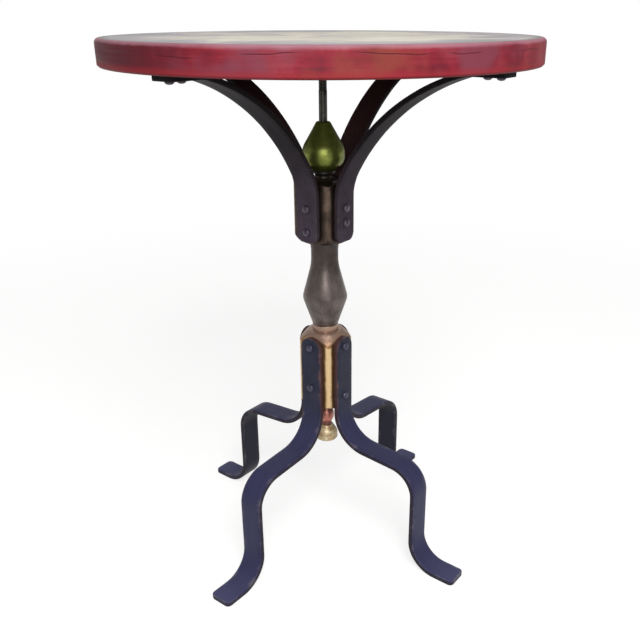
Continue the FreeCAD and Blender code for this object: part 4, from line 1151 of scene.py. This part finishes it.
def head_tree() -> bpy.types.NodeTree:
    """Geometry Nodes tree that sets a domed fastener on every point of a carrier, head along its facing.

    Returns:
        The tree, with the fastener's sizes as named inputs in metres.
    """
    tree = bpy.data.node_groups.new("domed_fasteners", "GeometryNodeTree")
    tree.interface.new_socket("Places", in_out="INPUT", socket_type="NodeSocketGeometry")
    for name in ("Head Diameter", "Head Height", "Rim Height", "Shank Diameter", "Shank Length", "Slot Width",
                 "Slot Depth", "Dent Depth", "Dent Size"):
        tree.interface.new_socket(name, in_out="INPUT", socket_type="NodeSocketFloat")
    tree.interface.new_socket("Slotted", in_out="INPUT", socket_type="NodeSocketBool")
    tree.interface.new_socket("Seed", in_out="INPUT", socket_type="NodeSocketInt")
    tree.interface.new_socket("Material", in_out="INPUT", socket_type="NodeSocketMaterial")
    tree.interface.new_socket("Fasteners", in_out="OUTPUT", socket_type="NodeSocketGeometry")
    node = partial(add_node, tree)
    given = node("NodeGroupInput").outputs
    ball = node("GeometryNodeMeshUVSphere", inputs={"Segments": 32, "Rings": 18, "Radius": 1.0})
    place = node("GeometryNodeInputPosition").outputs[0]
    split = node("ShaderNodeSeparateXYZ", inputs={0: place}).outputs
    radius = node("ShaderNodeMath", {"operation": "MULTIPLY"}, {0: given["Head Diameter"], 1: 0.5}).outputs[0]
    dome = node("ShaderNodeMath", {"operation": "SUBTRACT"}, {0: given["Head Height"], 1: given["Rim Height"]})
    above = node("ShaderNodeMath", {"operation": "MAXIMUM"}, {0: split["Z"], 1: 0.0})
    raised = node("ShaderNodeMath", {"operation": "MULTIPLY_ADD"}, {
        0: above.outputs[0], 1: dome.outputs[0], 2: given["Rim Height"]})
    upper = node("ShaderNodeMath", {"operation": "GREATER_THAN"}, {0: split["Z"], 1: -0.01})
    level = node("ShaderNodeMath", {"operation": "MULTIPLY"}, {0: raised.outputs[0], 1: upper.outputs[0]})
    wide = node("ShaderNodeMath", {"operation": "MULTIPLY"}, {0: split["X"], 1: radius})
    deep = node("ShaderNodeMath", {"operation": "MULTIPLY"}, {0: split["Y"], 1: radius})
    shaped = node("ShaderNodeCombineXYZ", inputs={0: wide.outputs[0], 1: deep.outputs[0], 2: level.outputs[0]})
    head = node("GeometryNodeSetPosition", inputs={
        "Geometry": ball.outputs["Mesh"], "Position": shaped.outputs[0]})
    slot_size = node("ShaderNodeCombineXYZ", inputs={
        0: given["Head Diameter"], 1: given["Slot Width"], 2: given["Head Height"]})
    blade = node("GeometryNodeMeshCube", inputs={"Size": slot_size.outputs[0]})
    half_high = node("ShaderNodeMath", {"operation": "MULTIPLY"}, {0: given["Head Height"], 1: 1.5})
    lift = node("ShaderNodeMath", {"operation": "SUBTRACT"}, {0: half_high.outputs[0], 1: given["Slot Depth"]})
    lifted = node("ShaderNodeCombineXYZ", inputs={2: lift.outputs[0]})
    blade = node("GeometryNodeTransform", inputs={
        "Geometry": blade.outputs["Mesh"], "Translation": lifted.outputs[0]})
    slotted = node("GeometryNodeMeshBoolean", {"operation": "DIFFERENCE"}, {
        "Mesh 1": head.outputs[0], "Mesh 2": blade.outputs[0]})
    choice = node("GeometryNodeSwitch", {"input_type": "GEOMETRY"}, {
        "Switch": given["Slotted"], "False": head.outputs[0], "True": slotted.outputs[0]})
    shank_radius = node("ShaderNodeMath", {"operation": "MULTIPLY"}, {0: given["Shank Diameter"], 1: 0.5})
    shank = node("GeometryNodeMeshCylinder", inputs={
        "Vertices": 16, "Radius": shank_radius.outputs[0], "Depth": given["Shank Length"]})
    sink = node("ShaderNodeMath", {"operation": "MULTIPLY"}, {0: given["Shank Length"], 1: -0.5})
    sunk = node("ShaderNodeCombineXYZ", inputs={2: sink.outputs[0]})
    shank = node("GeometryNodeTransform", inputs={
        "Geometry": shank.outputs["Mesh"], "Translation": sunk.outputs[0]})
    fastener = node("GeometryNodeJoinGeometry", inputs={"Geometry": choice.outputs[0]})
    tree.links.new(shank.outputs[0], fastener.inputs["Geometry"])
    facing = node("GeometryNodeInputNamedAttribute", {"data_type": "FLOAT_VECTOR"}, {"Name": "facing"})
    turned = node("FunctionNodeAlignRotationToVector", {"axis": "Z"}, {"Vector": facing.outputs["Attribute"]})
    roll = node("FunctionNodeRandomValue", {"data_type": "FLOAT"}, {
        2: 0.0, 3: math.tau, "Seed": given["Seed"]})
    spin = node("ShaderNodeCombineXYZ", inputs={2: roll.outputs[1]})
    rolled = node("FunctionNodeRotateRotation", {"rotation_space": "LOCAL"},
                  {0: turned.outputs[0], 1: spin.outputs[0]})
    set_out = node("GeometryNodeInstanceOnPoints", inputs={
        "Points": given["Places"], "Instance": fastener.outputs[0], "Rotation": rolled.outputs[0]})
    smooth = node("GeometryNodeSetShadeSmooth", inputs={0: set_out.outputs[0]})
    solid = node("GeometryNodeRealizeInstances", inputs={0: smooth.outputs[0]})
    pitch = node("ShaderNodeMath", {"operation": "DIVIDE"}, {0: 1.0, 1: given["Dent Size"]})
    dents = node("ShaderNodeTexNoise", inputs={"Vector": place, "Scale": pitch.outputs[0], "Detail": 1.0})
    offset = node("ShaderNodeMapRange", inputs={"Value": dents.outputs["Fac"], "To Min": -1.0, "To Max": 0.2})
    offset = node("ShaderNodeMath", {"operation": "MULTIPLY"}, {0: offset.outputs[0], 1: given["Dent Depth"]})
    push = node("ShaderNodeVectorMath", {"operation": "SCALE"}, {
        0: node("GeometryNodeInputNormal").outputs[0], "Scale": offset.outputs[0]})
    worked = node("GeometryNodeSetPosition", inputs={"Geometry": solid.outputs[0], "Offset": push.outputs[0]})
    done = node("GeometryNodeSetMaterial", inputs={"Geometry": worked.outputs[0], "Material": given["Material"]})
    node("NodeGroupOutput", inputs={0: done.outputs[0]})
    return tree


@dataclass(frozen=True)
class DomedFastener:
    """Sizes of one kind of domed bolt or screw."""

    head_diameter: float
    head_height: float
    rim_height: float
    shank_diameter: float
    shank_length: float
    slot_width: float
    slot_depth: float
    dent_depth: float
    slotted: bool
    seed: int
    dent_size: float = 4.5454545

    def inputs(self) -> dict[str, float | bool | int]:
        """Inputs of the fasteners' tree by name, lengths in metres."""
        lengths = ("head_diameter", "head_height", "rim_height", "shank_diameter", "shank_length", "slot_width",
                   "slot_depth", "dent_depth", "dent_size")
        sizes = {name.replace("_", " ").title(): getattr(self, name) * MM for name in lengths}
        return {**sizes, "Slotted": self.slotted, "Seed": self.seed}


LEG_LAG_BOLT = DomedFastener(10.5, 4.2, 1.0, 6.0, 22.7, 1.4, 1.2, 0.15, False, 4)
ARM_LAG_BOLT = DomedFastener(10.5, 4.2, 1.0, 6.0, 24.7, 1.4, 1.2, 0.15, False, 9)
ARM_WOOD_SCREW = DomedFastener(9.5, 3.6, 0.8, 4.5, 23.6, 1.3, 1.3, 0.05, True, 17)


@dataclass
class Hardware:
    """Tie rod with its nut, washer and insert, and the bolts and screws of the straps."""

    rod_diameter: float = 10.0
    rod_low: float = 139.4
    rod_high: float = 652.395
    thread_pitch: float = 1.5
    thread_depth: float = 0.55
    thread_from: float = 606.0
    low_thread: float = 12.0
    thread_steps: int = 6
    segments: int = 28
    rod_sharp_deg: float = 60.0
    head_sharp_deg: float = 40.0
    leg_face: float = 32.0
    arm_face: float = 34.0
    leg_heights: tuple[float, float] = (285.9, 227.9)
    leg_stagger: float = 14.0
    arm_heights: tuple[float, float] = (470.6, 441.6)
    arm_stagger: float = 11.0
    screw_radii: tuple[float, float] = (213.0, 228.0)
    screw_seat: float = 631.395

    def rod(self) -> bpy.types.Mesh:
        """Steel rod with a rolled thread where it enters the top and at its lower end.

        Returns:
            A closed mesh.
        """
        step, segments = self.thread_pitch / self.thread_steps, self.segments
        lows = np.arange(self.rod_low, self.rod_low + self.low_thread, step)
        plain = np.linspace(lows[-1] + 2 * self.thread_pitch, self.thread_from, 60)
        highs = np.arange(self.thread_from + step, self.rod_high, step)
        levels = np.concatenate((lows, plain, highs))
        angles = np.arange(segments) * (2 * math.pi / segments)
        phase = (levels[:, None] / self.thread_pitch - angles[None, :] / (2 * math.pi)) % 1
        cut = np.abs(phase - 0.5) * 2 * self.thread_depth
        cut *= ((levels <= lows[-1]) | (levels > self.thread_from))[:, None]
        spread = self.rod_diameter / 2 - cut
        heights = np.repeat(levels[:, None], segments, axis=1)
        rows = np.stack((spread * np.cos(angles), spread * np.sin(angles), heights), axis=-1)
        count = len(levels) * segments
        index = np.arange(count).reshape(len(levels), segments)
        right = np.roll(index, -1, axis=1)
        quads = np.stack((index[:-1], right[:-1], right[1:], index[1:]), axis=-1).reshape(-1, 4).tolist()
        caps = [index[0, ::-1].tolist(), index[-1].tolist()]
        mesh = bpy.data.meshes.new("threaded_tie_rod")
        mesh.from_pydata((rows.reshape(-1, 3) * MM).tolist(), [], quads + caps)
        mesh.polygons.foreach_set("use_smooth", [True] * len(mesh.polygons))
        mesh.set_sharp_from_angle(angle=math.radians(self.rod_sharp_deg))
        return mesh

    def fasteners(self, name: str, tree: bpy.types.NodeTree, places: Sequence[tuple[Vector, Vector]],
                  kind: DomedFastener, material: bpy.types.Material, node: str) -> None:
        """Sets one group of fasteners and hands it over as a piece.

        Args:
            name: Piece's name.
            tree: Tree that sets the fasteners.
            places: Seat in millimetres and facing of each head.
            kind: Sizes of each fastener.
            material: Finish of the group.
            node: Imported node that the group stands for.
        """
        points = bpy.data.meshes.new("fastener_places")
        points.from_pydata([seat * MM for seat, facing in places], [], [])
        aims = points.attributes.new("facing", "FLOAT_VECTOR", "POINT")
        aims.data.foreach_set("vector", [value for seat, facing in places for value in facing])
        carrier = bpy.data.objects.new("fastener_places", points)
        mesh = baked(carrier, tree, {**kind.inputs(), "Material": material})
        mesh.name = name
        mesh.set_sharp_from_angle(angle=math.radians(self.head_sharp_deg))
        finished(name, mesh, material, [node])

    def build(self, tree: bpy.types.NodeTree) -> None:
        """Makes the rod and fasteners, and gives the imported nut, washer and insert their finish.

        Args:
            tree: Tree that sets fasteners.
        """
        steel, slate, charcoal = (kind.material() for kind in (ROD_STEEL, LEG_BOLT_IRON, ARM_BOLT_IRON))
        finished("threaded_tie_rod", self.rod(), steel, ["tie_rod"])
        for name in ("rod_nut", "rod_washer", "rod_insert"):
            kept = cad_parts[name]
            kept.data.materials.clear()
            kept.data.materials.append(steel)
            LOG.info("%s: packed shape kept, steel finish", name)
        for name, face, heights, stagger, kind, iron in (
                ("leg_bolts", self.leg_face, self.leg_heights, -self.leg_stagger, LEG_LAG_BOLT, slate),
                ("arm_bolts", self.arm_face, self.arm_heights, self.arm_stagger, ARM_LAG_BOLT, charcoal)):
            places = []
            for corner in Corner:
                away = corner.outward()
                lower = heights[1] + (stagger if corner.staggered else 0)
                places += [(away * face + Vector((0, 0, level)), away) for level in (heights[0], lower)]
            self.fasteners(f"domed_{name}", tree, places, kind, iron, name)
        down = Vector((0, 0, -1))
        places = [(corner.outward() * radius + Vector((0, 0, self.screw_seat)), down)
                  for corner in Corner for radius in self.screw_radii]
        self.fasteners("slotted_arm_screws", tree, places, ARM_WOOD_SCREW, charcoal, "arm_screws")


@dataclass(frozen=True)
class SoftLamp:
    """Round soft lamp that looks at the table."""

    name: str
    place: tuple[float, float, float]
    size: float
    power: float

    def build(self, aim: Vector) -> None:
        """Hangs the lamp and turns it towards a point.

        Args:
            aim: Point that it looks at, in metres.
        """
        lamp = bpy.data.lights.new(self.name, "AREA")
        lamp.shape = "DISK"
        lamp.size = self.size
        lamp.energy = self.power
        holder = bpy.data.objects.new(self.name, lamp)
        holder.location = self.place
        holder.rotation_euler = (aim - Vector(self.place)).to_track_quat("-Z", "Y").to_euler()
        bpy.context.scene.collection.objects.link(holder)


@dataclass
class Studio:
    """Pale floor, soft lamps, white surroundings and the camera at the photograph's viewing angle."""

    floor_size: float = 30.0
    floor_near: tuple[float, float] = (0.7, 1.9)
    floor_hex: str = "#A09F9E"
    fibre_hex: str = "#A4A3A2"
    fibres_per_metre: float = 60.0
    floor_glow: float = 0.745
    ambient: float = 0.36
    sweep: tuple[float, float] = (0.7, 0.95)
    aim: tuple[float, float, float] = (0.0, 0.0, 0.4)
    lamps: tuple[SoftLamp, ...] = (
        SoftLamp("key_softbox", (-0.12, -1.75, 0.98), 0.9, 11.0),
        SoftLamp("front_top_softbox", (0.15, -1.5, 2.0), 1.0, 27.5),
        SoftLamp("left_softbox", (-2.1, -1.1, 0.9), 1.2, 1.6),
        SoftLamp("right_softbox", (2.1, -1.1, 0.9), 1.2, 1.2),
        SoftLamp("overhead_softbox", (0.1, -0.2, 2.6), 1.4, 7.0),
    )
    lens: float = 42.56
    sensor: float = 36.0
    camera_place: tuple[float, float, float] = (-0.0950, -0.9178, 0.6930)
    camera_turn_deg: tuple[float, float, float] = (67.72, 0.0, -7.63)
    camera_shift: float = -0.0413

    def build(self) -> None:
        """Sets the floor, the world, the lamps and the camera."""
        self.floor()
        self.world()
        for lamp in self.lamps:
            lamp.build(Vector(self.aim))
        self.camera()
        bpy.context.scene.view_settings.view_transform = "Standard"

    def floor(self) -> None:
        """Wide pale sheet under the table."""
        half = self.floor_size / 2
        mesh = bpy.data.meshes.new("studio_floor")
        corners = [(-half, -half, 0), (half, -half, 0), (half, half, 0), (-half, half, 0)]
        mesh.from_pydata(corners, [], [(0, 1, 2, 3)])
        # Matt backdrop paper: plain and pale, with a soft shadow under the table and no edge in the distance.
        material, node = start_material("matt_white_backdrop_paper")
        place = node("ShaderNodeTexCoord").outputs["Object"]
        fibre = node("ShaderNodeTexNoise", inputs={
            "Vector": place, "Scale": self.fibres_per_metre, "Detail": 3.0})
        paper = node("ShaderNodeValToRGB", inputs={"Fac": fibre.outputs["Fac"]}, stops=[
            (0.3, linear(self.floor_hex)), (0.7, linear(self.fibre_hex))])
        matt = node("ShaderNodeBsdfDiffuse", inputs={"Color": paper.outputs["Color"]})
        path = node("ShaderNodeLightPath").outputs
        seen = node("ShaderNodeMath", {"operation": "MAXIMUM"},
                    {0: path["Is Camera Ray"], 1: path["Is Glossy Ray"]})
        seen = node("ShaderNodeMath", {"operation": "MAXIMUM"},
                    {0: seen.outputs[0], 1: path["Is Transmission Ray"]})
        glow = node("ShaderNodeMath", {"operation": "MULTIPLY"}, {0: seen.outputs[0], 1: self.floor_glow})
        white = node("ShaderNodeEmission", inputs={"Color": (1, 1, 1, 1), "Strength": glow.outputs[0]})
        both = node("ShaderNodeAddShader", inputs={0: matt.outputs[0], 1: white.outputs[0]})
        sweep = node("ShaderNodeEmission", inputs={"Color": (1, 1, 1, 1), "Strength": seen.outputs[0]})
        distance = node("ShaderNodeVectorMath", {"operation": "LENGTH"}, {0: place}).outputs["Value"]
        far = node("ShaderNodeMapRange", {"interpolation_type": "SMOOTHSTEP"}, {
            "Value": distance, "From Min": self.floor_near[0], "From Max": self.floor_near[1]})
        lit = node("ShaderNodeMixShader", inputs={
            0: far.outputs["Result"], 1: both.outputs[0], 2: sweep.outputs[0]})
        node("ShaderNodeOutputMaterial", inputs={"Surface": lit.outputs[0]})
        mesh.materials.append(material)
        floor = bpy.data.objects.new("studio_floor", mesh)
        bpy.context.scene.collection.objects.link(floor)

    def world(self) -> None:
        """White surroundings to the eye, a white sweep behind the table to gloss, and a plain level of light."""
        world = bpy.data.worlds.new("white_studio")
        bpy.context.scene.world = world
        world.use_nodes = True
        world.node_tree.nodes.clear()
        node = partial(add_node, world.node_tree)
        path = node("ShaderNodeLightPath").outputs
        aim = node("ShaderNodeSeparateXYZ", inputs={0: node("ShaderNodeTexCoord").outputs["Generated"]})
        behind = node("ShaderNodeMapRange", inputs={
            "Value": aim.outputs["Y"], "From Min": self.sweep[0], "From Max": self.sweep[1]})
        shiny = node("ShaderNodeMath", {"operation": "MULTIPLY"}, {
            0: path["Is Glossy Ray"], 1: behind.outputs["Result"]})
        seen = node("ShaderNodeMath", {"operation": "MAXIMUM"},
                    {0: path["Is Camera Ray"], 1: path["Is Transmission Ray"]})
        seen = node("ShaderNodeMath", {"operation": "MAXIMUM"}, {0: seen.outputs[0], 1: shiny.outputs[0]})
        level = node("ShaderNodeMapRange", inputs={
            "Value": seen.outputs[0], "To Min": self.ambient, "To Max": 1.0})
        sky = node("ShaderNodeBackground", inputs={"Color": (1, 1, 1, 1), "Strength": level.outputs[0]})
        node("ShaderNodeOutputWorld", inputs={"Surface": sky.outputs[0]})

    def camera(self) -> None:
        """Camera that frames the table as the photograph does."""
        data = bpy.data.cameras.new("photo_camera")
        data.lens = self.lens
        data.sensor_width = self.sensor
        data.shift_x = self.camera_shift
        holder = bpy.data.objects.new("photo_camera", data)
        holder.location = self.camera_place
        holder.rotation_euler = [math.radians(turn) for turn in self.camera_turn_deg]
        bpy.context.scene.collection.objects.link(holder)
        bpy.context.scene.camera = holder


def main() -> None:
    """Builds the table's sub-assemblies in order."""
    logging.basicConfig(level=logging.INFO, format="%(name)s %(message)s")
    Studio().build()
    BoardTop().build()
    straps = strap_tree()
    LEGS.build(straps)
    ARMS.build(straps)
    TurnedPost().build()
    Hardware().build(head_tree())


if __name__ == "__main__":
    main()
